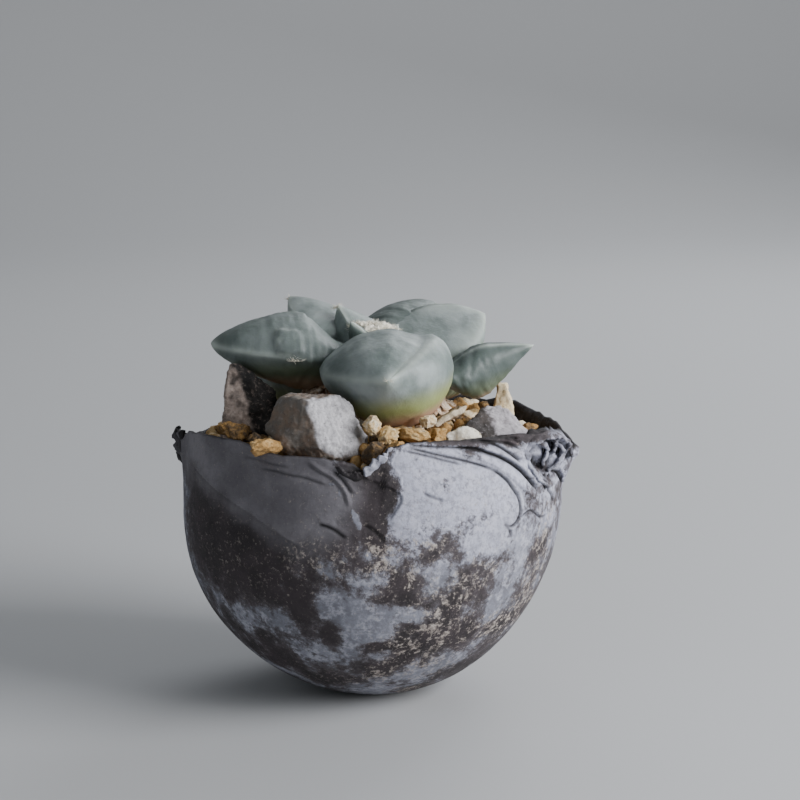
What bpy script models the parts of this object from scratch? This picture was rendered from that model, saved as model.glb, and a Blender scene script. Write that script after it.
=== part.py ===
"""Potted ariocarpus: a torn-rimmed, round-bottomed clay pot with a succulent rosette in gravel and rocks.

Sizes are in millimetres and azimuths in degrees; every mesh is turned into metres as it is made.
+Z is up, +X is to the viewer's right and -Y is towards the viewer.
The origin is the centre of the pot's foot, on the surface that it stands on.
Run with: blender --background --python part.py
"""

import itertools
import math
import random

import bmesh
import bpy
from mathutils import Matrix, Vector, noise
from mathutils.bvhtree import BVHTree

MM = 0.001
UP = Vector((0.0, 0.0, 1.0))
CLEARANCE = 0.35

# The pot: an egg-shaped body cut flat at the foot, its wall thinning towards a torn rim.
POT_RADIUS = 45.0
POT_LOWER_HALF = 47.2
POT_UPPER_HALF = 90.0
POT_EQUATOR = 45.75
WALL = 4.3
RIM_WALL = 1.9
INNER_LOWER_HALF = 41.2
INNER_FLOOR = POT_EQUATOR - INNER_LOWER_HALF + 0.5
DRAIN_RADIUS = 4.5
DRAIN_TOP = INNER_FLOOR - 0.25
LIP_HEIGHT = 11.0
RIPPLE_OF_TWO = 0.3
RIPPLE_OF_THREE = 0.2
LEAN_LOW_DOWN = 0.8
OUTER_CLIMB = (0.0, 0.05, 0.13, 0.23, 0.35, 0.48, 0.61, 0.73, 0.82, 0.88, 0.93, 0.97, 1.0)
INNER_CLIMB = (0.985, 0.94, 0.86, 0.72, 0.56, 0.40, 0.26, 0.15, 0.07, 0.0)
# Columns of the pot stand closer together at its torn and folded places, as (from azimuth, step).
COLUMN_STEPS = ((0, 6.0), (170, 3.5), (198, 6.0), (259, 3.0), (283, 6.0), (316, 2.5), (348, 6.0))

# Height of the torn rim round the pot, as (azimuth, height).
RIM_HEIGHTS = (
    (0, 58.4), (9, 59.6), (17, 61.2), (25, 61.3), (34, 62.6), (45, 62.8), (70, 62.0), (90, 61.0),
    (120, 59.4), (145, 58.2), (165, 58.6), (174, 59.8), (179, 62.6), (184, 62.4), (187, 61.0),
    (192, 64.0), (196, 64.8), (212, 66.2), (227, 66.9), (242, 65.2), (255, 65.4), (264, 64.4),
    (269, 62.6), (272, 63.2), (275, 67.4), (280, 68.5), (300, 68.0), (318, 67.6), (331, 66.8),
    (339, 65.0), (346, 61.0), (353, 58.8),
)
# How far the top of the wall leans out, or in where it is negative, as (azimuth, distance).
RIM_LEAN = (
    (0, 3.5), (10, 3.1), (24, 2.6), (45, 1.8), (90, 1.0), (135, 0.6), (165, 0.8), (176, 2.4),
    (181, 3.0), (187, 1.2), (193, 0.0), (225, 0.0), (265, -0.2), (275, -1.2), (292, -2.8),
    (312, -2.4), (324, -0.4), (333, 1.6), (342, 2.2), (351, 3.0),
)
RIM_RAGGEDNESS = 0.45
TEAR_WIDTH = 4.0
RIM_LEVEL = 62.0
LEVEL_CLIMB = 0.6

# The knot of folded clay on the right of the rim: a raised ring round a pit.
KNOT_AZIMUTH = 331.0
KNOT_HEIGHT = 60.8
KNOT_RADIUS = 5.2
KNOT_RISE = 1.9

# The filling: potting mix below, gravel above, both round a plain hole for the root.
FILL_CLEARANCE = 0.5
MIX_TOP = 53.0
MIX_SHOULDER = 49.5
MIX_CLIMB = 0.80
GRAVEL_AT_NECK = 66.4
GRAVEL_EDGE = (
    (0, 55.4), (40, 56.2), (90, 57.0), (135, 56.0), (165, 56.0), (185, 59.0), (205, 62.4),
    (225, 63.2), (250, 62.2), (268, 61.4), (282, 64.4), (312, 64.4), (333, 61.0), (348, 57.0),
)
GRAVEL_RINGS = 5
# Gravel heaped up in front of the plant: place, height and spread.
HEAP_PLACE = (5.0, -31.5)
HEAP_HEIGHT = 3.0
HEAP_SPREAD = 8.5
GRAIN_SPACING = 5.2
GRAIN_RADIUS = (2.7, 3.6)
GRAIN_REACH = 1.12
SMALLEST_GRAIN = 1.8
GRAIN_SEED = 15

# The plant: neck and root turned round one axis, as (height, radius).
PLANT_AXIS = (0.0, 2.0)
STEM_PROFILE = (
    (22.5, 1.2), (29.0, 3.6), (38.0, 8.0), (46.0, 11.6), (52.5, 13.9), (58.0, 15.3), (69.0, 15.5),
    (75.0, 15.0), (80.0, 12.0), (83.8, 7.0), (85.2, 3.0),
)
STEM_SIDES = 28
NECK_RADIUS = 15.5

# Each tubercle: base and tip from the foot of the plant's axis, half width, height of its domed
# upper face, depth of its keel, roll about its own length, and how far it bows upwards.
TUBERCLES = {
    "front": ((3.4, -4.0, 82.4), (3.7, -37.0, 83.0), 16.4, 5.2, 15.4, 14.0, 0.6),
    "left": ((-2.0, -2.0, 83.0), (-37.8, -8.0, 84.6), 13.6, 5.2, 12.4, -20.0, 0.8),
    "back_left": ((-2.5, 2.0, 82.0), (-20.3, 18.0, 91.0), 10.0, 3.0, 9.5, 4.0, 0.4),
    "back_right": ((1.5, 3.0, 81.0), (15.6, 26.0, 87.2), 11.0, 3.6, 10.0, 6.0, 1.0),
    "right_back": ((2.5, 0.0, 81.4), (26.8, 10.0, 88.1), 13.2, 2.8, 12.0, 21.0, 0.2),
    "right": ((7.0, -5.0, 71.6), (37.8, -6.0, 83.5), 11.6, 2.8, 10.4, -8.0, 1.8),
    "back": ((0.0, 4.0, 78.0), (-3.0, 35.0, 80.0), 13.0, 4.4, 11.0, 0.0, 0.5),
    "low_left": ((-3.0, 3.0, 74.0), (-31.0, 18.0, 74.0), 12.0, 3.6, 6.5, 0.0, 0.5),
    "low_right": ((4.0, 2.0, 75.0), (32.5, 22.0, 75.0), 12.0, 3.2, 8.5, 0.0, 0.5),
    "young_left": ((2.6, 1.0, 83.2), (-8.8, 4.2, 91.4), 8.0, 2.4, 6.0, -22.0, 0.6),
    "young_front": ((0.0, -0.6, 81.6), (-6.8, -4.8, 87.2), 4.4, 1.2, 3.2, 0.0, 0.3),
    "young_right": ((0.0, 1.0, 81.4), (7.6, 5.2, 88.6), 5.0, 1.4, 4.0, 8.0, 0.3),
}
WIDEST_AT = 0.40
BLUNTNESS = 2.2
TUBERCLE_STATIONS = (0.0, 0.14, 0.28, 0.42, 0.56, 0.68, 0.79, 0.88, 0.95)
SECTION_POINTS = 12

# Dried bases of shed tubercles, in rows round the neck, as (height, how many).
SCALE_ROWS = ((71.4, 15), (74.6, 13))
SCALE_SIZE = (3.0, 2.3, 2.6)

# The tuft of wool at the crown.
WOOL_CENTRE = (-0.3, -2.0, 87.4)
WOOL_RADII = (4.6, 3.6, 2.2)

# Stones on the gravel: centre of the stone, and its corners from there.
STONES = {
    "rock_front": ((-13.5, -32.0, 70.0), (
        (-1.0, -5.0, 7.5), (0.8, -7.0, -1.2), (4.8, -7.2, -5.6), (6.7, 1.0, 7.1), (9.1, 3.0, 5.6),
        (11.5, 3.0, -2.5), (11.3, 1.0, -7.6), (-8.0, 2.0, 6.7), (-11.0, 2.0, -0.7),
        (-6.7, -3.8, -3.9), (-5.0, 6.0, 7.0), (1.5, 5.0, 6.6), (-7.0, 6.5, -8.0),
        (7.0, 6.0, -8.5), (0.0, -1.5, -10.0))),
    "rock_left": ((-30.5, -12.5, 71.5), (
        (-2.7, -0.5, 9.6), (-0.5, 0.3, 9.2), (-2.4, 3.0, 7.2), (0.2, 3.4, 6.2), (-3.4, -2.4, 3.0),
        (3.8, -2.6, 4.4), (8.2, 0.8, 2.9), (8.6, 2.0, -3.0), (-5.0, -3.5, -5.8), (6.6, -3.8, -5.0),
        (7.4, 4.0, -9.5), (-4.5, 5.0, -9.0), (-4.2, -3.4, -9.4), (5.6, -4.0, -9.4))),
    "rock_right": ((28.6, -15.0, 66.4), (
        (-2.2, 3.0, 4.9), (1.4, 3.6, 4.4), (8.8, 0.0, -1.1), (7.0, -4.5, -2.4), (0.2, -1.0, 2.4),
        (-8.1, -7.0, 1.4), (-3.0, -7.0, 0.2), (-6.5, 2.0, -5.0), (7.4, 3.4, -5.6),
        (-5.6, -7.6, -5.0), (5.0, -6.0, -6.0))),
    "stone_cream": ((20.8, -27.4, 66.6), (
        (-4.7, -1.0, 0.9), (0.6, 0.0, 3.0), (4.7, 2.0, 1.1), (5.0, 2.4, -1.4), (0.4, 2.6, 2.2),
        (-4.0, 2.2, -0.6), (-2.4, -1.8, -3.0), (3.2, -1.0, -3.0), (1.0, 2.6, -3.4))),
    "stone_long": ((18.0, -21.2, 70.6), (
        (-4.6, -2.8, -1.6), (-4.6, -1.0, -0.8), (-3.4, -3.6, -2.8), (3.6, 1.4, 2.0), (4.0, 3.2, 1.4),
        (2.8, 2.8, -0.2), (3.8, 0.8, 0.4), (-3.8, -0.6, -2.8), (0.2, -1.6, 1.2), (0.2, 1.6, 0.8))),
    "stone_small": ((31.0, 3.0, 66.0), (
        (-1.6, -1.4, 7.2), (0.8, -1.8, 6.6), (1.2, 1.0, 6.8), (-1.4, 1.2, 7.0), (-2.8, -2.4, -3.0),
        (2.6, -2.6, -3.4), (2.8, 2.4, -4.0), (-2.6, 2.6, -3.8), (2.4, -0.4, 3.0))),
}

COLOURS = {
    "clay": ((0.145, 0.140, 0.160), 0.85),
    "soil": ((0.060, 0.042, 0.030), 0.95),
    "gravel": ((0.500, 0.330, 0.150), 0.90),
    "rosette": ((0.200, 0.270, 0.250), 0.55),
    "wool": ((0.750, 0.680, 0.520), 1.00),
    "grey_rock": ((0.330, 0.320, 0.320), 0.90),
    "brown_rock": ((0.200, 0.165, 0.145), 0.90),
    "cream_rock": ((0.640, 0.570, 0.420), 0.90),
}


def around(table, azimuth):
    """Value at an azimuth, eased between the neighbouring entries of a table that goes round."""
    azimuth %= 360.0
    wrapped = list(table) + [(table[0][0] + 360.0, table[0][1])]
    for (start, low), (end, high) in zip(wrapped, wrapped[1:]):
        if start <= azimuth <= end:
            part = (azimuth - start) / (end - start)
            return low + (high - low) * part * part * (3.0 - 2.0 * part)
    return table[0][1]


def ease(value, low, high):
    """0 below low, 1 above high, and a smooth step between them."""
    part = min(max((value - low) / (high - low), 0.0), 1.0)
    return part * part * (3.0 - 2.0 * part)


def polar(radius, azimuth, height):
    """Point at a radius, azimuth and height."""
    angle = math.radians(azimuth)
    return Vector((radius * math.cos(angle), radius * math.sin(angle), height))


def egg_radius(height, radius, lower_half):
    """Radius at a height of an egg-shaped body, rounder below its widest place than above."""
    rise = (height - POT_EQUATOR) / (POT_UPPER_HALF if height > POT_EQUATOR else lower_half)
    return radius * math.sqrt(max(1.0 - rise * rise, 0.0))


def hand_wobble(azimuth, height):
    """How far the hand-shaped wall strays from a true round, fading out at the foot."""
    angle = math.radians(azimuth)
    whole = math.sin(math.pi * min(max(height / RIM_LEVEL, 0.0), 1.0))
    below = math.sin(math.pi * min(max(height / POT_EQUATOR, 0.0), 1.0))
    ripple = RIPPLE_OF_TWO * math.sin(2.0 * angle + 0.7) + RIPPLE_OF_THREE * math.sin(3.0 * angle)
    return whole * ripple - LEAN_LOW_DOWN * below * math.cos(angle)


def rim_height(azimuth):
    """Height of the torn rim, with a ragged edge."""
    tear = noise.noise(polar(POT_RADIUS / TEAR_WIDTH, azimuth, 0.0))
    return around(RIM_HEIGHTS, azimuth) + RIM_RAGGEDNESS * tear


def ring_height(azimuth, climb, floor):
    """Height of a ring of the pot: level low down, and following the torn rim near the top."""
    level = floor + climb * (RIM_LEVEL - floor)
    return level + (rim_height(azimuth) - RIM_LEVEL) * ease(climb, LEVEL_CLIMB, 1.0)


def outer_radius(azimuth, height):
    """Radius of the pot's outside."""
    rim = around(RIM_HEIGHTS, azimuth)
    lean = around(RIM_LEAN, azimuth) * ease(height, rim - LIP_HEIGHT, rim)
    return egg_radius(height, POT_RADIUS, POT_LOWER_HALF) + hand_wobble(azimuth, height) + lean


def inner_radius(azimuth, height):
    """Radius of the pot's inside."""
    if height < POT_EQUATOR:
        return egg_radius(height, POT_RADIUS - WALL, INNER_LOWER_HALF) + hand_wobble(azimuth, height)
    thinning = ease(height, POT_EQUATOR, around(RIM_HEIGHTS, azimuth))
    return outer_radius(azimuth, height) - WALL + (WALL - RIM_WALL) * thinning


def knot_relief(azimuth, height):
    """Rise of the knot's ring above the wall, and the pit in its middle."""
    across = math.radians((azimuth - KNOT_AZIMUTH + 180.0) % 360.0 - 180.0) * POT_RADIUS
    distance = math.hypot(across, height - KNOT_HEIGHT) / KNOT_RADIUS
    ring = math.exp(-((distance - 0.8) / 0.45) ** 2)
    pit = math.exp(-(distance / 0.45) ** 2)
    return KNOT_RISE * (ring - 1.1 * pit)


def link(name, mesh, colour):
    """Put a mesh in the scene as a named object with its material."""
    mesh.name = name
    material = bpy.data.materials.get(colour) or bpy.data.materials.new(colour)
    material.use_nodes = True
    rgb, roughness = COLOURS[colour]
    shader = material.node_tree.nodes["Principled BSDF"]
    shader.inputs["Base Color"].default_value = (*rgb, 1.0)
    shader.inputs["Roughness"].default_value = roughness
    shader.inputs["Metallic"].default_value = 0.0
    mesh.materials.clear()
    mesh.materials.append(material)
    obj = bpy.data.objects.new(name, mesh)
    bpy.context.scene.collection.objects.link(obj)
    return obj


def to_mesh(bm, name):
    """Finish a mesh made in millimetres: faces out, in metres."""
    bmesh.ops.recalc_face_normals(bm, faces=bm.faces)
    bmesh.ops.scale(bm, vec=(MM, MM, MM), verts=bm.verts)
    mesh = bpy.data.meshes.new(name)
    bm.to_mesh(mesh)
    bm.free()
    return mesh


def skin(rings, looped=False, tip=None):
    """Closed surface through rings of points, capped flat at its ends or closed at a tip."""
    bm = bmesh.new()
    rows = [[bm.verts.new(point) for point in ring] for ring in rings]
    pairs = list(zip(rows, rows[1:]))
    if looped:
        pairs.append((rows[-1], rows[0]))
    for low, high in pairs:
        for i, j in zip(range(len(low)), list(range(1, len(low))) + [0]):
            bm.faces.new((low[i], low[j], high[j], high[i]))
    if looped:
        return bm
    bm.faces.new(rows[0][::-1])
    if tip is None:
        bm.faces.new(rows[-1])
        return bm
    point = bm.verts.new(tip)
    last = rows[-1]
    for i, j in zip(range(len(last)), list(range(1, len(last))) + [0]):
        bm.faces.new((last[i], last[j], point))
    return bm


def hull(points):
    """Convex solid through some points."""
    bm = bmesh.new()
    for point in points:
        bm.verts.new(point)
    bmesh.ops.convex_hull(bm, input=bm.verts)
    inside = [vert for vert in bm.verts if not vert.link_faces]
    bmesh.ops.delete(bm, geom=inside, context="VERTS")
    return bm


def azimuths(every=1):
    """Azimuths of the pot's columns, or of every second one for what fills it."""
    columns = []
    ends = [start for start, _ in COLUMN_STEPS[1:]] + [360.0]
    for (start, step), end in zip(COLUMN_STEPS, ends):
        count = round((end - start) / step)
        columns += [start + (end - start) * i / count for i in range(count)]
    return columns[::every]


def make_pot():
    """The clay pot: outside, torn rim, inside, and the drain hole through the foot."""
    rings = []
    for climb in OUTER_CLIMB:
        ring = []
        for azimuth in azimuths():
            height = ring_height(azimuth, climb, 0.0)
            radius = outer_radius(azimuth, height)
            if climb > 0.0:
                radius += knot_relief(azimuth, height)
            ring.append(polar(radius, azimuth, height))
        rings.append(ring)
    for climb in INNER_CLIMB:
        ring = []
        for azimuth in azimuths():
            height = ring_height(azimuth, climb, INNER_FLOOR)
            ring.append(polar(inner_radius(azimuth, height), azimuth, height))
        rings.append(ring)
    rings.append([polar(DRAIN_RADIUS, azimuth, DRAIN_TOP) for azimuth in azimuths()])
    rings.append([polar(DRAIN_RADIUS, azimuth, 0.0) for azimuth in azimuths()])
    obj = link("pot", to_mesh(skin(rings, looped=True), "pot"), "clay")
    obj.data.shade_smooth()
    obj.data.set_sharp_from_angle(angle=math.radians(40.0))
    return obj


def hole_ring(radius, height):
    """Ring round the plant's axis, with one point for each column of the filling."""
    centre = Vector((*PLANT_AXIS, 0.0))
    return [centre + polar(radius, azimuth, height) for azimuth in azimuths(every=2)]


def make_potting_mix():
    """Potting mix: fills the pot up to the gravel, round a plain hole for the root."""
    rings = []
    for climb in [climb for climb in INNER_CLIMB[::-1] if climb < MIX_CLIMB]:
        ring = []
        for azimuth in azimuths(every=2):
            height = ring_height(azimuth, climb, INNER_FLOOR)
            radius = inner_radius(azimuth, height) - CLEARANCE
            ring.append(polar(radius, azimuth, height + FILL_CLEARANCE))
        rings.append(ring)
    for height in (MIX_SHOULDER, MIX_TOP):
        ring = []
        for azimuth in azimuths(every=2):
            ring.append(polar(inner_radius(azimuth, height) - FILL_CLEARANCE, azimuth, height))
        rings.append(ring)
    root = [(height, radius) for height, radius in STEM_PROFILE if height < MIX_TOP]
    rings.append(hole_ring(root[-1][1] + FILL_CLEARANCE, MIX_TOP))
    for height, radius in root[-2::-1]:
        rings.append(hole_ring(radius + FILL_CLEARANCE, height - CLEARANCE))
    return link("potting_mix", to_mesh(skin(rings), "potting_mix"), "soil")


def gravel_reach(azimuth):
    """Radius to which the gravel can reach at an azimuth, clear of the pot's wall."""
    top = around(GRAVEL_EDGE, azimuth) + 2.0
    heights = [MIX_TOP + step * (top - MIX_TOP) / 6.0 for step in range(7)]
    return min(inner_radius(azimuth, height) for height in heights) - FILL_CLEARANCE


def gravel_height(point):
    """Height of the bedded gravel, from its edge at the wall up to the plant's neck."""
    azimuth = math.degrees(math.atan2(point.y, point.x))
    from_neck = math.hypot(point.x - PLANT_AXIS[0], point.y - PLANT_AXIS[1]) - NECK_RADIUS
    part = min(max(from_neck / (gravel_reach(azimuth) - NECK_RADIUS), 0.0), 1.0)
    edge = around(GRAVEL_EDGE, azimuth)
    heap = math.hypot(point.x - HEAP_PLACE[0], point.y - HEAP_PLACE[1]) / HEAP_SPREAD
    bedded = GRAVEL_AT_NECK + (edge - GRAVEL_AT_NECK) * part ** 1.3
    return bedded + HEAP_HEIGHT * math.exp(-heap * heap) * (1.0 - part ** 4)


def make_gravel_bed():
    """The bed under the loose grains: a ring of gravel round the neck."""
    outer = [polar(gravel_reach(azimuth), azimuth, 0.0) for azimuth in azimuths(every=2)]
    inner = hole_ring(NECK_RADIUS + FILL_CLEARANCE, 0.0)
    rings = []
    for step in range(GRAVEL_RINGS + 1):
        ring = []
        for edge, neck in zip(outer, inner):
            point = edge.lerp(neck, step / GRAVEL_RINGS)
            point.z = gravel_height(point)
            ring.append(point)
        rings.append(ring)
    for ring in (inner, outer):
        rings.append([Vector((point.x, point.y, MIX_TOP + CLEARANCE)) for point in ring])
    return link("top_dressing", to_mesh(skin(rings, looped=True), "top_dressing"), "gravel")


def grain_spots():
    """Jittered rows of places for the grains, with the size of each."""
    dice = random.Random(GRAIN_SEED)
    rows = int(2.0 * POT_RADIUS / GRAIN_SPACING) + 2
    spots = []
    for row in range(-rows // 2, rows // 2 + 1):
        for column in range(-rows // 2, rows // 2 + 1):
            x = (column + 0.5 * (row % 2) + dice.uniform(-0.22, 0.22)) * GRAIN_SPACING
            y = (row * 0.87 + dice.uniform(-0.2, 0.2)) * GRAIN_SPACING
            spots.append((Vector((x, y, 0.0)), dice.uniform(*GRAIN_RADIUS)))
    return spots


def grain_mesh(radius, dice):
    """One angular grain: a block with every corner moved, turned at random."""
    corners = []
    for x, y, z in itertools.product((-1.0, 1.0), repeat=3):
        corners.append(Vector((x, y, z)).normalized() * radius * dice.uniform(0.8, 1.08))
    bm = hull(corners)
    bmesh.ops.scale(bm, vec=(1.0, dice.uniform(0.8, 1.0), dice.uniform(0.7, 0.9)), verts=bm.verts)
    turn = Matrix.Rotation(dice.uniform(0.0, math.tau), 3, "Z")
    turn @= Matrix.Rotation(dice.uniform(0.3, 0.9), 3, "X")
    bmesh.ops.rotate(bm, cent=(0.0, 0.0, 0.0), matrix=turn, verts=bm.verts)
    return to_mesh(bm, "grain")


def tree_of(objects):
    """Search tree over the faces of some objects, in metres."""
    verts = []
    faces = []
    for obj in objects:
        start = len(verts)
        verts.extend(obj.matrix_world @ vert.co for vert in obj.data.vertices)
        faces.extend([start + index for index in face.vertices] for face in obj.data.polygons)
    return BVHTree.FromPolygons(verts, faces)


def make_grains(plant):
    """Loose grains on the bed, wherever they are clear of the wall, the neck and the plant."""
    dice = random.Random(GRAIN_SEED + 1)
    tree = tree_of([plant])
    grains = []
    for spot, radius in grain_spots():
        azimuth = math.degrees(math.atan2(spot.y, spot.x))
        reach = min(gravel_reach(azimuth + swing) for swing in (-5.0, 0.0, 5.0))
        from_neck = math.hypot(spot.x - PLANT_AXIS[0], spot.y - PLANT_AXIS[1]) - NECK_RADIUS
        room = min(reach - spot.length, from_neck - FILL_CLEARANCE)
        radius = min(radius, room / GRAIN_REACH)
        if radius < SMALLEST_GRAIN:
            continue
        centre = Vector((spot.x, spot.y, gravel_height(spot) + 0.2 * radius))
        if tree.find_nearest(centre * MM, (radius * GRAIN_REACH + CLEARANCE) * MM)[0] is not None:
            continue
        grain = link("grain", grain_mesh(radius, dice), "gravel")
        grain.location = centre * MM
        grains.append(grain)
    return grains


def bake(obj):
    """Apply an object's modifiers."""
    depsgraph = bpy.context.evaluated_depsgraph_get()
    mesh = bpy.data.meshes.new_from_object(obj.evaluated_get(depsgraph))
    mesh.name = obj.name
    obj.modifiers.clear()
    obj.data = mesh


def discard(objects):
    """Remove objects from the file."""
    for obj in list(objects):
        bpy.data.objects.remove(obj, do_unlink=True)


def keep_main_body(obj):
    """Drop the loose scraps that a Boolean leaves, and its flattest slivers."""
    bm = bmesh.new()
    bm.from_mesh(obj.data)
    bmesh.ops.dissolve_degenerate(bm, edges=bm.edges, dist=0.01 * MM)
    bmesh.ops.triangulate(bm, faces=bm.faces)
    waiting = set(bm.verts)
    bodies = []
    while waiting:
        body = {waiting.pop()}
        front = list(body)
        while front:
            for edge in front.pop().link_edges:
                for vert in edge.verts:
                    if vert in waiting:
                        waiting.remove(vert)
                        body.add(vert)
                        front.append(vert)
        bodies.append(body)
    main_body = max(bodies, key=len)
    scraps = [vert for body in bodies if body is not main_body for vert in body]
    bmesh.ops.delete(bm, geom=scraps, context="VERTS")
    bm.to_mesh(obj.data)
    bm.free()


def combine(obj, others, operation):
    """Join or cut an object with a group of others in one Boolean, and remove them."""
    group = bpy.data.collections.new(f"{obj.name}_{operation.lower()}")
    bpy.context.scene.collection.children.link(group)
    for other in others:
        group.objects.link(other)
        bpy.context.scene.collection.objects.unlink(other)
    boolean = obj.modifiers.new(operation.lower(), "BOOLEAN")
    boolean.operation = operation
    boolean.operand_type = "COLLECTION"
    boolean.collection = group
    boolean.solver = "EXACT"
    bake(obj)
    discard(others)
    bpy.data.collections.remove(group)
    keep_main_body(obj)


def fullness(along):
    """Share of a tubercle's full section at a part of its length: widest before the middle."""
    if along < WIDEST_AT:
        return 1.0 - 0.4 * ((WIDEST_AT - along) / WIDEST_AT) ** 2
    return 1.0 - ((along - WIDEST_AT) / (1.0 - WIDEST_AT)) ** BLUNTNESS


def section_point(index, half_width, dome, keel):
    """One point of a tubercle's cross-section: sharp side edges, domed top, rounded keel below."""
    half = SECTION_POINTS // 2
    if index < half:
        across = -1.0 + 2.0 * index / half
        return across * half_width, dome * (1.0 - abs(across) ** 2.2)
    across = 1.0 - 2.0 * (index - half) / half
    return across * half_width, -keel * (1.0 - abs(across) ** 1.8) ** 0.7


def make_tubercle(name, base, tip, half_width, dome, keel, roll, bow):
    """One thick triangular tubercle, skinned through cross-sections from its base to its tip."""
    base = Vector(base)
    tip = Vector(tip)
    axis = (tip - base).normalized()
    side = UP.cross(axis).normalized()
    turn = Matrix.Rotation(math.radians(roll), 3, axis)
    rise = turn @ axis.cross(side)
    side = turn @ side
    rings = []
    for along in TUBERCLE_STATIONS:
        share = fullness(along)
        spine = base.lerp(tip, along) + rise * bow * 4.0 * along * (1.0 - along)
        ring = []
        for index in range(SECTION_POINTS):
            across, height = section_point(index, half_width * share, dome * share ** 1.1, keel * share)
            ring.append(spine + side * across + rise * height)
        rings.append(ring)
    return link(name, to_mesh(skin(rings, tip=tip), name), "rosette")


def make_scale(azimuth, height):
    """One dried base of a shed tubercle on the neck."""
    bm = bmesh.new()
    bmesh.ops.create_icosphere(bm, subdivisions=1, radius=1.0)
    bmesh.ops.scale(bm, vec=SCALE_SIZE, verts=bm.verts)
    bmesh.ops.rotate(bm, matrix=Matrix.Rotation(math.radians(-25.0), 3, "Y"), verts=bm.verts)
    bmesh.ops.rotate(bm, matrix=Matrix.Rotation(math.radians(azimuth), 3, "Z"), verts=bm.verts)
    bmesh.ops.translate(bm, vec=polar(NECK_RADIUS - 1.6, azimuth, height), verts=bm.verts)
    return link("scale", to_mesh(bm, "scale"), "rosette")


def make_plant():
    """The grown plant: root, neck, dried bases and tubercles, fused in one body."""
    rings = []
    for height, radius in STEM_PROFILE:
        rings.append([polar(radius, 360.0 * i / STEM_SIDES, height) for i in range(STEM_SIDES)])
    plant = link("plant", to_mesh(skin(rings), "plant"), "rosette")
    pieces = [make_tubercle(name, *sizes) for name, sizes in TUBERCLES.items()]
    for row, (height, count) in enumerate(SCALE_ROWS):
        pieces += [make_scale(360.0 * (i + 0.5 * row) / count, height) for i in range(count)]
    combine(plant, pieces, "UNION")
    return plant


def make_wool(name, swell):
    """The tuft of wool at the crown, or with a swell, the hollow that it sits in."""
    bm = bmesh.new()
    bmesh.ops.create_icosphere(bm, subdivisions=2, radius=1.0)
    bmesh.ops.scale(bm, vec=[radius + swell for radius in WOOL_RADII], verts=bm.verts)
    obj = link(name, to_mesh(bm, name), "wool")
    obj.location = Vector(WOOL_CENTRE) * MM
    return obj


def make_stone(name, colour, swell=0.0):
    """A chipped stone through its corners, or with a swell, the pocket that it is bedded in."""
    centre, corners = STONES[name]
    points = [Vector(corner) for corner in corners]
    bm = hull([point + point.normalized() * swell for point in points])
    obj = link(name, to_mesh(bm, name), colour)
    obj.location = Vector(centre) * MM
    return obj


def main():
    discard(bpy.data.objects)
    base = bpy.data.objects.new("potted_ariocarpus", None)
    bpy.context.scene.collection.objects.link(base)
    pot = make_pot()
    mix = make_potting_mix()
    plant = make_plant()
    combine(plant, [make_wool("hollow", 2.0 * CLEARANCE)], "DIFFERENCE")
    wool = make_wool("crown_wool", 0.0)
    plant.location = Vector((*PLANT_AXIS, 0.0)) * MM
    wool.location += plant.location
    bpy.context.view_layer.update()
    gravel = make_gravel_bed()
    combine(gravel, make_grains(plant), "UNION")
    tints = {"rock_front": "grey_rock", "rock_left": "brown_rock", "rock_right": "grey_rock"}
    pockets = [make_stone(name, "gravel", swell=2.4 * CLEARANCE) for name in STONES]
    combine(gravel, pockets, "DIFFERENCE")
    stones = [make_stone(name, tints.get(name, "cream_rock")) for name in STONES]
    for obj in [pot, mix, plant, wool, gravel] + stones:
        obj.parent = base


if __name__ == "__main__":
    main()
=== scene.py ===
"""Looks of the potted ariocarpus: a torn-rimmed clay pot with a thick-leaved rosette in rocks and gravel.

The file is laid out as an add-on. Each operator models one piece or one group of like pieces.
Lengths in the tables are millimetres and azimuths are degrees, as seen from above, with -Y in front.
"""

import functools
import math
import random

import bpy
import numpy as np
from mathutils import Matrix, Vector, noise
from mathutils.bvhtree import BVHTree


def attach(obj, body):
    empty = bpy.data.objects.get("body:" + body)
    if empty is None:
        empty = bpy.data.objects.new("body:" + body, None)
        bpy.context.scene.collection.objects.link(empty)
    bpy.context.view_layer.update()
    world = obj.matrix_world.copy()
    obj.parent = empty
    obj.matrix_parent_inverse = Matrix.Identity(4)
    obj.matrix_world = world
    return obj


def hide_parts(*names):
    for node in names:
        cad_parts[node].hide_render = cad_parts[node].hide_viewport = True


bl_info = {
    "name": "Potted Ariocarpus",
    "version": (1, 0, 0),
    "blender": (4, 5, 0),
    "location": "View3D > Sidebar > Ariocarpus",
    "description": "Models a torn-rimmed clay pot with an ariocarpus, rocks and gravel",
    "category": "Add Mesh",
}

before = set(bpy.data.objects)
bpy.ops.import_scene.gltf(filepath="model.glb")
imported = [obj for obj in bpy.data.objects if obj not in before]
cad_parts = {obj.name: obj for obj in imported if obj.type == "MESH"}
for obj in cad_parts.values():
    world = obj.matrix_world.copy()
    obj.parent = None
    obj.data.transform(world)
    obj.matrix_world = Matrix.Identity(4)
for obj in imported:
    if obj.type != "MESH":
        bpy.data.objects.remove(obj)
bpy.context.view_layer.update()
MM = 0.001
UP = Vector((0.0, 0.0, 1.0))
SMOOTHLY = {"interpolation_type": "SMOOTHSTEP"}


def linear(code):
    """Linear RGBA of an sRGB hex colour."""
    parts = [int(code[i:i + 2], 16) / 255.0 for i in (1, 3, 5)]
    return [c / 12.92 if c <= 0.04045 else ((c + 0.055) / 1.055) ** 2.4 for c in parts] + [1.0]


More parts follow.
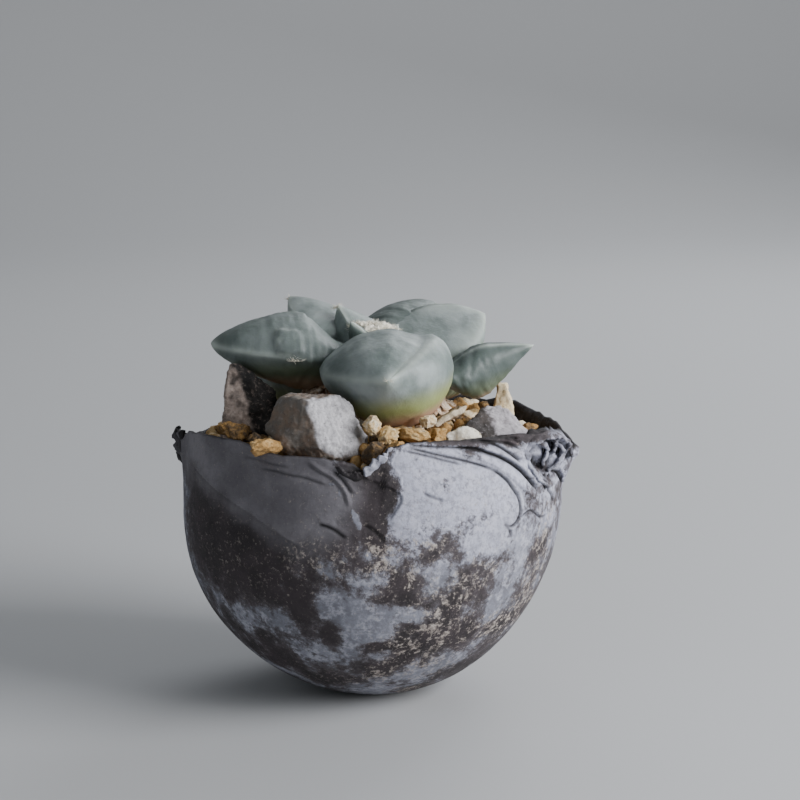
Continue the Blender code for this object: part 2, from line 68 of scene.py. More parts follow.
# The pot's body, as a potter would note it: an egg cut flat at the foot, thinning to a torn rim.
POT_RADIUS = 45.0
POT_LOWER_HALF = 47.2
POT_UPPER_HALF = 90.0
POT_EQUATOR = 45.75
WALL = 4.3
RIM_WALL = 1.9
INNER_LOWER_HALF = 41.2
INNER_FLOOR = POT_EQUATOR - INNER_LOWER_HALF + 0.5
DRAIN_RADIUS = 4.5
DRAIN_TOP = INNER_FLOOR - 0.25
LIP_HEIGHT = 11.0
RIM_LEVEL = 62.0
LEVEL_CLIMB = 0.6
# Columns of the wall's mesh: azimuth where each stretch starts, and the step in it.
COLUMNS = ((196.0, 0.55), (276.0, 0.34), (346.0, 0.6), (352.0, 2.0), (556.0, 2.0))
# Its rings: share of the climb where each stretch starts and ends, and how many rings it has.
OUTER_RINGS = ((0.0, 0.66, 44), (0.66, 0.992, 100))
INNER_RINGS = ((0.975, 0.7, 26), (0.7, 0.0, 12))

# Height of the rim and how far it leans out, round the pot.
RIM_HEIGHTS = (
    (0, 58.4), (9, 59.6), (17, 61.2), (25, 61.3), (34, 62.6), (45, 62.8), (70, 62.0), (90, 61.0),
    (120, 59.4), (145, 58.2), (165, 58.6), (174, 59.8), (179, 62.6), (184, 62.4), (187, 61.0),
    (192, 64.0), (196, 64.8), (212, 66.2), (227, 66.9), (242, 65.2), (255, 65.4), (264, 64.4),
    (269, 62.6), (272, 63.2), (275, 67.4), (280, 68.5), (300, 68.0), (318, 67.6), (331, 66.8),
    (339, 65.0), (346, 61.0), (353, 58.8),
)
RIM_LEAN = (
    (0, 3.5), (10, 3.1), (24, 2.6), (45, 1.8), (90, 1.0), (135, 0.6), (165, 0.8), (176, 2.4),
    (181, 3.0), (187, 1.2), (193, 0.0), (225, 0.0), (265, -0.2), (275, -1.2), (292, -2.8), (312, -2.4),
    (324, -0.4), (333, 1.6), (342, 2.2), (351, 3.0),
)
# How ragged the tear is round the rim, in millimetres.
RIM_TEAR = (
    (0, 0.8), (30, 1.0), (60, 0.8), (100, 0.6), (165, 0.6), (178, 1.0), (190, 0.5), (200, 0.3),
    (250, 0.35), (262, 0.8), (275, 0.7), (283, 0.25), (318, 0.25), (330, 0.6), (345, 0.8),
)

# Grooves pressed or torn into the wall: line, width, depth, lip raised beside it, and the shade painted in
# it.
GROOVES = (
    (((280, 67.6), (287, 66.0), (293, 64.7), (299, 63.4), (304, 62.1), (308, 60.9)), 0.26, 0.45, 0.22, 0.8),
    (((280, 66.7), (287, 65.2), (293, 63.8), (298, 62.7)), 0.24, 0.35, 0.18, 0.65),
    (((281, 68.0), (289, 67.0), (297, 66.3), (304, 65.5)), 0.26, 0.42, 0.22, 0.75),
    (((297, 66.5), (304, 65.5), (308, 64.3), (313, 62.7), (317, 60.8), (321, 58.3), (325, 55.4),
      (328, 53.3)), 0.40, 1.10, 0.55, 1.0),
    (((307, 61.2), (310, 59.8), (313, 57.9), (315.5, 55.7), (318, 53.2), (319, 50.5), (318, 48.1),
      (315, 46.8), (312.5, 48.0)), 0.27, 0.50, 0.28, 0.75),
    (((318, 48.1), (321, 48.8), (324, 49.2), (327, 48.0), (330, 46.6), (334, 46.6)), 0.26, 0.45, 0.15, 0.8),
    (((312, 47.8), (314, 46.2), (315, 44.3)), 0.26, 0.35, 0.12, 0.5),
    (((236, 61.6), (241, 61.5), (246, 60.9), (251, 60.6), (258, 59.0)), 0.28, 0.22, 0.10, 0.4),
    (((229, 63.6), (234, 63.6), (240, 62.9), (246, 62.6)), 0.26, 0.14, 0.08, 0.25),
    (((306, 67.1), (312, 65.6), (316, 63.6), (320, 61.0)), 0.34, 0.60, 0.35, 0.9),
    (((301, 67.5), (309, 66.8), (316, 65.6), (321, 63.6)), 0.30, 0.45, 0.25, 0.8),
    (((309, 67.4), (316, 66.9), (321, 66.0)), 0.34, 0.40, 0.25, 0.8),
    (((285, 57.5), (288, 56.2), (291, 55.4)), 0.30, 0.22, 0.10, 0.5),
    (((338, 56.2), (342, 55.3), (345, 53.6), (348, 52.2)), 0.40, 0.60, 0.30, 0.9),
    (((329, 55.6), (331, 54.5), (333, 52.6)), 0.36, 0.50, 0.25, 0.9),
    (((334, 52.6), (337, 51.0), (339, 48.6)), 0.32, 0.35, 0.2, 0.7),
    (((268, 50.6), (271, 49.2), (274, 46.6)), 0.34, 0.30, 0.15, 0.6),
    (((259, 62.6), (262, 60.4), (264.5, 57.6)), 0.30, 0.35, 0.20, 0.5),
    (((251, 64.1), (255, 62.1), (259, 60.5), (262, 57.6), (263, 54.6)), 0.30, 0.20, 0.35, 0.2),
    (((255, 50.5), (259, 49.6), (263, 47.4)), 0.36, 0.30, 0.15, 0.8),
)
# Edges of overlapping sheets of clay: line, rise of the upper sheet, and how far the rise runs out.
SHEETS = (
    (((200, 58.6), (207, 56.9), (217, 54.9), (229, 52.1), (237, 49.5), (244, 46.9), (250, 44.6)), 0.55, 10.0),
    (((262, 62.8), (268, 61.2), (276, 58.8), (279, 56.6), (277, 53.4), (275, 51.2)), 0.40, 5.0),
    (((296, 65.4), (302, 64.0), (309, 61.6), (315, 58.0), (322, 53.6), (328, 50.9)), 0.35, 3.2),
    (((278.6, 67.7), (276.2, 64.2), (278, 62.1), (279, 60.1), (278, 56.6), (275, 52.9), (275, 51.3)),
     -0.30, 2.5),
)
# Rolled or pinched ridges: line, width and rise.
RIDGES = (
    (((299, 65.0), (305, 63.3), (311, 61.0), (316, 57.7), (322, 53.9), (327, 51.2)), 1.3, 0.45),
    (((322, 62.6), (323, 65.0), (326, 66.4), (331, 66.6), (336, 65.6), (341, 63.8), (344, 61.4),
      (343, 59.0)), 1.2, 0.9),
    (((324, 60.6), (327, 57.6), (331, 55.2), (336, 54.0), (341, 54.8)), 1.0, 0.7),
    (((344, 57.6), (347, 55.4), (349, 52.0)), 0.8, 0.6),
    (((316, 66.6), (319, 64.4), (321, 61.6)), 0.7, 0.6),
    (((352, 57.2), (357, 57.4), (363, 58.6)), 1.2, 0.9),
)
# Hollows pressed in with a finger or torn open: azimuth, height, radius and depth.
HOLLOWS = (
    (325.2, 63.4, 1.6, 2.2), (333.8, 63.0, 2.2, 2.6), (334.6, 58.2, 2.6, 2.8), (327.0, 60.2, 1.5, 1.6),
    (340.5, 61.0, 1.2, 1.3), (346.5, 58.6, 1.2, 1.0), (180.0, 60.2, 1.6, 1.0), (266.0, 63.2, 1.8, 0.9),
)
# Strips of clay torn loose and curled out of the wall, with their left edge raised: line, width,
# lift of the raised edge, slip added to the wall's own, and painted shade.
STRIPS = (
    (((343.8, 58.6), (344, 61.6), (340.5, 64.4), (335, 66.0), (329, 66.5), (324.6, 65.6), (322.6, 63.0)),
     2.2, 2.1, 0.1, 0.15),
    (((331.6, 57.6), (330.2, 60.0), (331.8, 62.2), (330.4, 64.2), (326.8, 65.2)), 1.9, 1.7, 0.0, 0.25),
    (((336.6, 56.2), (340.4, 58.2), (341.2, 61.0), (338.4, 63.4)), 1.7, 1.5, 0.3, 0.3),
    (((341.0, 55.2), (335.6, 54.4), (330.2, 55.8), (325.8, 58.4), (323.2, 61.4)), 1.9, 1.2, 0.3, 0.1),
    (((335.2, 60.4), (336.4, 62.6), (334.8, 64.8)), 1.3, 1.4, 0.2, 0.5),
    (((318.0, 66.4), (321.6, 63.8), (323.4, 60.4)), 1.5, 0.9, 0.5, 0.2),
    (((350.0, 58.0), (346.6, 60.0), (344.8, 62.4)), 1.5, 1.3, 0.2, 0.5),
    (((349.6, 51.6), (346.4, 54.2), (342.0, 57.2)), 1.3, 0.9, 0.6, 0.1),
    (((268.2, 60.9), (270.4, 62.4), (272.6, 64.0), (276.4, 65.6)), 3.0, 0.8, 2.2, 0.0),
    (((271.6, 63.4), (274.2, 65.0), (277.4, 67.2)), 2.0, 0.5, 1.6, 0.0),
    (((259.0, 63.2), (262.4, 61.6), (265.6, 60.9), (268.4, 61.6)), 2.0, 0.7, -1.0, 0.6),
    (((188.4, 57.8), (186.4, 60.8), (182.0, 61.8), (177.4, 60.8), (173.4, 57.8)), 2.4, 0.6, -2.0, 0.6),
    (((185.6, 56.4), (182.2, 59.0), (178.0, 58.6), (175.6, 56.4)), 2.0, 0.6, -2.0, 0.4),
    (((184.0, 54.8), (180.4, 57.6), (176.4, 55.6)), 1.6, 0.7, -2.0, 0.7),
)
# Light slip left on the dark body, or worn off it, and painted sheen along the left edge: azimuth, height,
# half width, half height, weight.
SLIP = (
    (287, 64, 7.4, 2.9, 1.3), (299, 58, 12.2, 5.7, 1.3), (309, 46, 7.6, 5.0, 1.2),
    (278, 52, 3.2, 2.0, 0.8), (315, 58, 9.0, 5.0, 1.1), (321, 41, 3.9, 4.9, 1.0),
    (318, 32, 8.2, 5.4, 1.3), (292, 37, 3.8, 3.9, 0.9), (303, 38, 4.7, 2.6, 0.5),
    (277, 29, 8.3, 2.1, 1.3), (273, 24, 4.0, 2.9, 1.1), (311, 19, 6.3, 2.6, 0.9),
    (302, 14, 9.2, 2.3, 1.1), (285, 10, 13.4, 2.6, 1.0), (273, 18, 2.7, 1.5, 0.8),
    (272, 7, 3.3, 2.5, 0.8), (312, 24, 7.3, 0.9, 0.9), (333, 49, 8.8, 8.1, 0.5),
    (337, 30, 7.9, 10.2, 0.3), (286, 52, 6.2, 4.4, 0.9), (273, 57, 3.1, 3.8, -1.6),
    (273, 47, 3.1, 4.4, -0.8), (286, 43, 5.0, 2.1, -0.7), (279, 36, 3.7, 4.8, -1.3),
    (293, 30, 5.3, 3.5, -1.2), (305, 33, 5.2, 3.9, -1.2), (315, 40, 3.5, 1.6, -1.0),
    (298, 37, 1.7, 2.2, -1.1), (328, 33, 5.3, 5.2, -0.9), (331, 39, 4.8, 2.9, -1.1),
    (288, 21, 10.7, 5.2, -1.6), (317, 21, 12.1, 2.6, -1.1), (301, 22, 3.7, 3.1, -1.1),
    (310, 9, 10.0, 2.0, -0.6), (277, 14, 4.4, 2.1, -1.1), (273, 20, 3.3, 0.7, -1.6),
    (301, 3, 14.0, 2.2, -1.0), (337, 23, 11.1, 4.0, -0.7), (321, 13, 9.7, 2.5, -0.7),
    (262, 32, 4.5, 4.2, 1.3), (269, 38, 4.8, 2.3, 0.9), (255, 29, 4.2, 3.0, 0.9),
    (267, 25, 6.6, 3.8, 1.2), (251, 17, 8.3, 2.8, 1.1), (262, 15, 3.2, 2.3, 0.7),
    (238, 24, 7.6, 3.6, 0.6), (225, 25, 9.1, 3.0, 0.4), (208, 29, 5.8, 5.5, 0.45),
    (262, 5, 14.0, 2.7, 0.9), (256, 41, 1.8, 2.3, 1.0), (264.8, 53.8, 0.5, 1.0, 2.3),
    (265.8, 52.0, 0.8, 1.2, 2.2), (266.6, 50.4, 0.6, 0.9, 2.0), (261, 57.4, 0.5, 1.6, 2.3),
    (258.6, 59.6, 0.8, 0.5, 2.4), (300, 67.7, 8.0, 0.9, -1.3), (312, 63.6, 5.0, 1.3, 1.2),
    (318, 59.6, 3.0, 2.4, 1.3), (314, 67.2, 7.0, 1.3, -1.7), (325, 66.6, 4.0, 1.5, -1.2),
    (332, 58.6, 4.0, 1.8, -0.9), (271, 56, 1.3, 0.7, 1.6), (272, 47, 3.1, 1.6, 0.5),
    (249, 44, 3.4, 2.0, 0.25), (255, 62, 2.5, 0.8, 0.8), (249, 65, 1.3, 0.5, 0.9),
    (268, 43, 5.9, 2.0, 0.25), (259, 39, 1.6, 1.4, 0.8), (233, 41, 14.0, 10.7, -1.5),
    (248, 30, 3.5, 3.7, -1.4), (260, 36, 3.1, 2.3, -0.8), (257, 23, 2.8, 3.8, -1.6),
    (231, 15, 10.6, 3.8, -1.5), (251, 9, 10.2, 2.5, -1.3), (272, 21, 4.2, 0.8, -1.6),
    (267, 15, 3.9, 1.2, -1.0), (273, 11, 4.2, 2.5, -1.0), (248, 24, 1.9, 1.6, -1.1),
    (267, 41, 2.3, 1.4, -0.7), (270, 30, 0.8, 0.5, -1.2), (265, 28, 0.9, 0.5, -1.2),
    (268, 57, 3.5, 4.3, -1.6), (262, 62, 5.2, 1.6, -1.2), (209, 42, 7.0, 7.0, -0.9),
    # The patch at azimuth 183 is painted sheen of grazing light along the pot's left edge.
    (196, 20, 9.0, 6.0, -0.4), (183, 42, 9.0, 14.0, 1.1), (180, 56, 9.0, 5.0, 0.8),
    (334, 62, 8.0, 5.0, 1.0), (352, 40, 6.0, 9.0, 0.5), (20, 40, 14.0, 9.0, 0.7),
    (55, 25, 14.0, 9.0, -0.8), (95, 45, 18.0, 10.0, 0.6), (130, 22, 14.0, 9.0, 0.8),
    (160, 45, 12.0, 12.0, -0.8),
)
# Beige grit that shows where the surface has crumbled: azimuth, height, half width, half height, weight.
DUST = (
    (288, 21, 11.3, 6.3, 1.0), (281, 37, 7.0, 5.2, 0.8), (293, 30, 6.3, 4.7, 0.9),
    (304, 37, 6.9, 4.9, 0.9), (286, 45, 6.2, 2.9, 0.9), (316, 22, 10.7, 4.7, 1.0),
    (333, 33, 7.9, 9.6, 0.9), (335, 22, 11.4, 5.6, 1.0), (336, 45, 7.3, 8.2, 0.6),
    (292, 12, 14.0, 3.5, 0.7), (295, 4, 14.0, 2.4, 1.0), (272, 44, 3.1, 4.9, 0.6),
    (303, 55, 3.3, 2.8, 0.25), (252, 43, 6.2, 3.7, 0.6), (268, 43, 6.3, 4.5, 0.7),
    (235, 38, 14.0, 8.6, 0.22), (221, 41, 13.2, 6.4, 0.2), (256, 9, 11.5, 3.3, 0.5),
    (273, 12, 4.1, 3.8, 0.7), (259, 39, 2.4, 2.1, 0.5), (30, 30, 20.0, 12.0, 0.6),
    (80, 20, 20.0, 12.0, 0.5), (120, 40, 20.0, 12.0, 0.6), (165, 25, 14.0, 12.0, 0.5),
)
# Edge of the burnished patch at the upper left, which lies on the left of this line.
BURNISHED = (
    (172, 50.0), (190, 54.5), (205, 56.7), (217, 54.8), (229, 52.1), (237, 49.5), (244, 46.9),
    (250, 45.4), (257, 47.2), (263, 51.0), (265, 56.0), (262, 60.5),
)
# Edge where a light sheet of slip was torn off, which leaves the dark body on the left of this line.
TORN_EDGE = (
    (274.4, 49.6), (275.4, 52.9), (278.0, 56.6), (279.0, 60.1), (278.0, 62.1), (276.2, 64.2),
    (278.6, 68.4),
)

# Filling of the pot.
GRAVEL_AT_NECK = 66.4
GRAVEL_EDGE = (
    (0, 55.4), (40, 56.2), (90, 57.0), (135, 56.0), (165, 56.0), (185, 57.0), (205, 59.4), (225, 62.0),
    (250, 62.0), (268, 61.4), (282, 64.4), (312, 64.4), (333, 61.0), (348, 57.0),
)
HEAP_PLACE = (5.0, -31.5)
HEAP_HEIGHT = 3.0
HEAP_SPREAD = 8.5
PLANT_AXIS = (0.0, 2.0)
NECK_RADIUS = 15.5


def leaf_section(half_width, dome, keel, roll):
    """Section of a plain tubercle: a low domed upper face, two sharp margins and a deep keel."""
    across = (1.0, 1.0, 0.72, 0.38, 0.0, -0.38, -0.72)
    points = [(half_width * c, dome * (1.0 - abs(c) ** 2.2)) for c in across]
    across = (-1.0, -1.0, -0.8, -0.42, 0.0, 0.42, 0.8)
    points += [(half_width * c, -keel * (1.0 - abs(c) ** 1.8) ** 0.7) for c in across]
    cosine, sine = math.cos(math.radians(roll)), math.sin(math.radians(roll))
    return tuple((x * cosine - y * sine, x * sine + y * cosine) for x, y in points)


# Each tubercle: base and tip, section at its widest, bow, bluntness, parts of its length over which
# its upper face rises and its belly fills out, depth of its wrinkles, how blanched its underside is,
# and how much shade is painted on it. A section lies across the tubercle, level sideways and upright,
# and a point given twice makes a margin.
TUBERCLES = {
    "front": ((3.4, -2.0, 81.2), (3.7, -35.0, 81.2), (
        (-15.9, -2.0), (-15.9, -2.0), (-14.2, 0.9), (-10.8, 3.7), (-7.6, 5.6), (-3.6, 6.8), (0.8, 7.2),
        (5.0, 6.4), (8.0, 5.5), (10.6, 5.8), (10.6, 5.8), (13.0, 4.5), (14.6, 2.2), (15.2, -0.8),
        (14.9, -4.0), (13.9, -7.0), (12.3, -9.8), (10.0, -12.3), (6.8, -14.2), (2.4, -15.4), (-1.8, -15.3),
        (-5.8, -13.5), (-9.6, -10.4), (-13.0, -7.2), (-15.2, -4.6)), 0.6, 2.3, 0.0, 0.0, 0.15, 1.0, 0.0),
    "left": ((-2.0, 0.0, 83.0), (-37.8, -6.0, 84.2), (
        (13.2, -2.2), (13.2, -2.2), (10.6, 1.6), (6.2, 4.8), (1.0, 6.6), (-4.0, 6.3), (-9.0, 4.0),
        (-13.4, 1.0), (-13.4, 1.0), (-11.0, -4.5), (-6.0, -8.7), (0.0, -10.9), (6.0, -10.2), (11.0, -6.6)),
        0.8, 1.75, 0.45, 0.0, 0.5, 0.25, 0.95),
    "back_left": ((-2.5, 4.0, 82.0), (-20.3, 20.0, 91.0), leaf_section(10.0, 3.0, 9.5, 4.0),
                  0.4, 2.0, 0.2, 0.0, 0.4, 0.2, 0.1),
    "back_right": ((1.0, 5.0, 81.0), (14.8, 27.0, 88.4), leaf_section(9.5, 4.0, 10.0, 6.0),
                   1.0, 2.2, 0.2, 0.0, 0.4, 0.2, 1.1),
    "right_back": ((2.5, 2.0, 81.4), (26.8, 12.0, 88.1), (
        (-10.8, -3.8), (-10.8, -3.8), (-8.0, -2.0), (-4.6, -0.1), (0.0, 1.8), (4.0, 3.6), (7.5, 4.8),
        (7.5, 4.8), (7.5, 0.0), (4.5, -5.0), (0.0, -8.5), (-4.5, -10.2), (-8.5, -9.6), (-11.4, -7.0)),
        0.2, 2.7, 0.1, 0.0, 0.3, 0.5, 0.0),
    "right": ((7.0, -3.0, 70.8), (37.8, -4.0, 83.5), (
        (-6.0, 4.4), (-6.0, 4.4), (-9.2, 2.0), (-10.6, -1.4), (-9.8, -5.4), (-6.8, -9.4), (-2.0, -11.4),
        (4.0, -9.4), (8.2, -4.5), (9.8, 1.0), (9.8, 1.0), (5.0, 3.0), (-0.5, 4.3)),
        2.4, 1.3, 0.72, 0.58, 0.9, 0.25, 1.5),
    "back": ((0.0, 6.0, 78.0), (-3.0, 37.0, 80.0), leaf_section(13.0, 4.4, 11.0, 0.0),
             0.5, 2.2, 0.2, 0.0, 0.5, 0.4, 0.1),
    "low_left": ((-3.0, 5.0, 74.0), (-31.0, 20.0, 74.0), leaf_section(12.0, 3.6, 10.5, 0.0),
                 0.5, 2.2, 0.1, 0.0, 0.8, 0.4, 0.9),
    "low_right": ((4.0, 4.0, 75.0), (27.0, 27.0, 74.0), leaf_section(11.0, 3.2, 9.5, 0.0),
                  0.5, 2.2, 0.1, 0.0, 0.8, 0.4, 0.6),
    "young_left": ((1.4, 3.0, 81.6), (-8.4, 5.9, 91.3), (
        (6.6, 0.4), (6.6, 0.4), (3.6, 2.2), (0.0, 3.0), (-4.0, 2.4), (-7.0, 0.0), (-7.0, 0.0), (-4.6, -6.4),
        (-0.6, -10.6), (3.6, -8.6), (6.2, -4.0)), 0.0, 1.25, 0.0, 0.0, 0.4, 0.0, 0.2),
    "young_front": ((-0.4, 0.8, 81.6), (-5.2, -3.0, 88.9), (
        (3.6, 0.0), (3.6, 0.0), (1.6, 1.4), (-1.6, 1.5), (-3.6, 0.0), (-3.6, 0.0), (-2.2, -3.0), (0.4, -4.0),
        (2.6, -2.6)), 0.2, 1.4, 0.0, 0.0, 0.2, 0.0, 1.7),
    "young_right": ((0.0, 3.0, 81.0), (6.0, 7.2, 86.4), leaf_section(4.6, 1.2, 4.0, 8.0),
                    0.3, 1.6, 0.0, 0.0, 0.2, 0.0, 0.3),
}
WIDEST_AT = 0.40
TIP_ROUNDNESS = 0.08
ROUNDER_TIPS = {"left": 0.45}
# Swellings with square shoulders: share of the tubercle's length, angle round it, and half sizes.
SWELLINGS = {"left": (0.52, 0.16, 2.7, 2.5)}
NECK_STATIONS = (22.5, 29.0, 38.0, 46.0, 52.5, 58.0, 69.0, 75.0, 80.0, 84.6)
NECK_WIDTHS = (1.2, 3.6, 8.0, 11.6, 13.9, 15.1, 15.3, 14.4, 8.6, 2.0)
FLAKES = 100
FLAKES_ALL_ROUND = 64
# Clumps of wool: centre, spread each way, and share of the hairs. The crown has the first three, and
# the others sit on areoles.
WOOL_CENTRE = (-0.5, 0.6, 86.5)
WOOL_CLUMPS = (
    (WOOL_CENTRE, (4.6, 2.4, 1.5), 0.72), ((-4.0, 0.2, 87.6), (1.3, 1.0, 0.8), 0.08),
    ((4.4, 2.0, 86.0), (1.4, 1.2, 0.9), 0.10), ((-8.6, 5.8, 91.0), (0.4, 0.4, 0.3), 0.03),
    ((-20.3, 20.0, 90.6), (0.4, 0.4, 0.3), 0.03), ((-17.6, -15.4, 82.3), (1.1, 0.3, 0.2), 0.02),
    ((3.7, -34.6, 81.4), (0.5, 0.3, 0.4), 0.02),
)

# Stones of note on the gravel: place, half lengths, turn, tint from dark gold to cream, nodules.
GRAVEL_STONES = (
    ((-23.4, -36.4, 66.4), (4.2, 2.6, 2.5), 28.0, 0.42, 0.3),
    # The low tints of the three stones furthest left paint the shade that falls on that side.
    ((-30.2, -25.6, 67.6), (3.9, 3.2, 2.7), 60.0, 0.24, 0.9),
    ((-33.2, -20.4, 67.0), (2.9, 2.6, 2.2), 10.0, 0.32, 0.7),
    ((-25.6, -31.6, 66.6), (2.6, 2.4, 2.1), 80.0, 0.12, 0.8),
    ((0.2, -32.6, 70.4), (2.6, 2.4, 2.5), 20.0, 0.76, 0.9),
    ((3.6, -33.8, 68.2), (3.0, 2.8, 2.6), 70.0, 0.62, 1.2),
    ((9.6, -31.6, 68.2), (4.4, 2.9, 1.9), 160.0, 0.50, 0.3),
    ((15.2, -29.8, 67.8), (2.6, 2.2, 1.7), 15.0, 0.44, 0.5),
    ((0.6, -38.4, 65.6), (2.9, 2.6, 3.3), 40.0, 0.12, 0.4),
    ((5.4, -38.6, 66.4), (2.5, 2.2, 2.4), 110.0, 0.35, 0.6),
    ((12.8, -25.8, 70.2), (2.3, 1.8, 1.7), 30.0, 0.80, 0.7),
    ((26.0, -8.0, 69.8), (1.5, 1.3, 1.2), 0.0, 0.18, 0.4),
    ((39.4, 4.0, 59.6), (2.6, 2.2, 2.0), 50.0, 0.36, 0.7),
    ((37.4, 10.4, 60.0), (2.4, 2.6, 2.0), 0.0, 0.30, 0.7),
)
GRAVEL_TRIES = 5200
COARSE_TRIES = 1700
BED_FLOOR = 53.4
# Share of the bed's mesh that is its upper face; the rest runs back under it.
BED_TOP_SHARE = 0.82

# Softboxes: place, what it is aimed at and size in metres, share of the key's power, and colour.
PLANT_AIM = (0.0, 0.0, 0.06)
SOFTBOXES = {
    "key": ((0.60, -0.24, 0.32), PLANT_AIM, 0.45, 1.00, "#fbfcff"),
    "fill": ((-0.75, -0.55, 0.45), PLANT_AIM, 0.90, 0.135, "#e6edf6"),
    "rim": ((0.30, 0.60, 0.45), PLANT_AIM, 0.40, 0.26, "#f2f5fa"),
    "backdrop": ((0.0, 0.75, 0.90), (0.0, 1.15, 0.0), 0.80, 0.26, "#f6f7fa"),
}
CAMERA_TARGET = (0.0064, 0.0, 0.0694)
CAMERA_DISTANCE = 0.6
CAMERA_TILT = 12.0
SENSOR = 36.0
# Seamless paper, in metres: half width, front end, length, where it bends up and the bend's radius.
PAPER_HALF_WIDTH = 3.4
PAPER_FRONT = -3.6
PAPER_LENGTH = 6.2
PAPER_BEND_AT = 0.7
PAPER_BEND_RADIUS = 0.573


class PotSettings(bpy.types.PropertyGroup):
    slip_colour: bpy.props.FloatVectorProperty(
        name="Slip", description="Thin light clay washed over the body", subtype="COLOR",
        size=4, min=0.0, max=1.0, default=linear("#b2b4c4"))
    body_colour: bpy.props.FloatVectorProperty(
        name="Body", description="Dark fired clay under the slip", subtype="COLOR",
        size=4, min=0.0, max=1.0, default=linear("#40383b"))
    crease_depth: bpy.props.FloatProperty(
        name="Crease depth", description="Depth of the folds, against those of a real pot",
        min=0.0, max=2.0, default=1.0)
    grit: bpy.props.FloatProperty(
        name="Grit", description="Grain of the clay that shows on the surface",
        unit="LENGTH", min=0.0001, max=0.003, default=0.0008)


class PlantSettings(bpy.types.PropertyGroup):
    skin_colour: bpy.props.FloatVectorProperty(
        name="Skin", description="Grey-green skin of a grown tubercle", subtype="COLOR",
        size=4, min=0.0, max=1.0, default=linear("#6b7673"))
    bloom_colour: bpy.props.FloatVectorProperty(
        name="Bloom", description="Pale waxy bloom on the skin", subtype="COLOR",
        size=4, min=0.0, max=1.0, default=linear("#969f9d"))
    wool_length: bpy.props.FloatProperty(
        name="Wool length", description="Length of one hair of the crown's wool",
        unit="LENGTH", min=0.0005, max=0.006, default=0.0017)
    hairs: bpy.props.IntProperty(
        name="Hairs", description="How many hairs the tuft has", min=50, max=2500, default=1400)


class GravelSettings(bpy.types.PropertyGroup):
    grain_low: bpy.props.FloatProperty(
        name="Smallest grain", description="Half width of the smallest grains",
        unit="LENGTH", min=0.0005, max=0.004, default=0.0011)
    grain_high: bpy.props.FloatProperty(
        name="Largest grain", description="Half width of the largest loose grains",
        unit="LENGTH", min=0.001, max=0.006, default=0.0031)
    gold_colour: bpy.props.FloatVectorProperty(
        name="Gold", description="Gold of the baked gravel", subtype="COLOR",
        size=4, min=0.0, max=1.0, default=linear("#bd9154"))


class StageSettings(bpy.types.PropertyGroup):
    floor_colour: bpy.props.FloatVectorProperty(
        name="Floor", description="Plain floor under the pot", subtype="COLOR",
        size=4, min=0.0, max=1.0, default=linear("#b9babb"))
    key_power: bpy.props.FloatProperty(
        name="Key light", description="Power of the soft light from the right",
        unit="POWER", min=0.0, max=100.0, default=9.5)
    lens: bpy.props.FloatProperty(
        name="Lens", description="Focal length of the camera in millimetres",
        min=20.0, max=300.0, default=113.9)


def deselect_all():
    """Leave nothing selected, in object mode."""
    if bpy.context.object is not None and bpy.context.object.mode != "OBJECT":
        bpy.ops.object.mode_set(mode="OBJECT")
    bpy.ops.object.select_all(action="DESELECT")


def make_active(obj):
    """Select one object alone and make it the active one."""
    deselect_all()
    obj.select_set(True)
    bpy.context.view_layer.objects.active = obj


def newly_added(name):
    """Name the object that a primitive operator has just added."""
    obj = bpy.context.object
    obj.name = name
    obj.data.name = name
    return obj


def modify(obj, kind, **settings):
    """Add a modifier to an object and apply it."""
    make_active(obj)
    modifier = obj.modifiers.new(kind.lower(), kind)
    for key, value in settings.items():
        setattr(modifier, key, value)
    bpy.ops.object.modifier_apply(modifier=modifier.name)


def points_of(obj):
    """The object's points, in millimetres."""
    places = np.empty(len(obj.data.vertices) * 3, np.float32)
    obj.data.vertices.foreach_get("co", places)
    return places.reshape(-1, 3).astype(float) / MM


def move_points(obj, places):
    """Put the object's points at new places, in millimetres."""
    obj.data.vertices.foreach_set("co", (places * MM).astype(np.float32).ravel())
    obj.data.update()


def note(obj, name, values):
    """Keep a number at each point, for the material to read."""
    attribute = obj.data.attributes.get(name) or obj.data.attributes.new(name, "FLOAT", "POINT")
    attribute.data.foreach_set("value", np.asarray(values, np.float32).ravel())


def close_seams(obj, distance=0.00002):
    """Merge the points that meet, and turn the faces outwards."""
    make_active(obj)
    bpy.ops.object.mode_set(mode="EDIT")
    bpy.ops.mesh.select_all(action="SELECT")
    bpy.ops.mesh.remove_doubles(threshold=distance)
    bpy.ops.mesh.normals_make_consistent(inside=False)
    bpy.ops.object.mode_set(mode="OBJECT")


def settle(obj, slot, *nodes):
    """Bring a finished piece home: place in its mesh, smooth, riding on the part."""
    obj.data.transform(obj.matrix_world)
    obj.matrix_world = Matrix.Identity(4)
    make_active(obj)
    bpy.ops.object.shade_smooth()
    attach(obj, "root")
    if nodes:
        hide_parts(*nodes)
    return obj


def join_all(objects, name):
    """Join objects in one, which takes the name."""
    deselect_all()
    for obj in objects:
        obj.select_set(True)
    bpy.context.view_layer.objects.active = objects[0]
    bpy.ops.object.join()
    return newly_added(name)


def around(table, azimuth):
    """Values at some azimuths, eased between the neighbouring entries of a table that goes round."""
    stops = np.array([stop for stop, _ in table] + [table[0][0] + 360.0], float)
    values = np.array([value for _, value in table] + [table[0][1]], float)
    azimuth = np.asarray(azimuth, float) % 360.0
    slot = np.clip(np.searchsorted(stops, azimuth, side="right") - 1, 0, len(stops) - 2)
    part = (azimuth - stops[slot]) / (stops[slot + 1] - stops[slot])
    return values[slot] + (values[slot + 1] - values[slot]) * part * part * (3.0 - 2.0 * part)


def ease(value, low, high):
    """0 below low, 1 above high, and a smooth step between them."""
    part = np.clip((value - low) / (high - low), 0.0, 1.0)
    return part * part * (3.0 - 2.0 * part)


def lumps(points, size, octaves=3, seed=0.0):
    """Fractal noise at each point, for lumps of a size in millimetres."""
    moved = np.asarray(points, float) / size + seed
    return np.array([noise.fractal(point, 0.8, 2.0, octaves) for point in moved.reshape(-1, 3)])


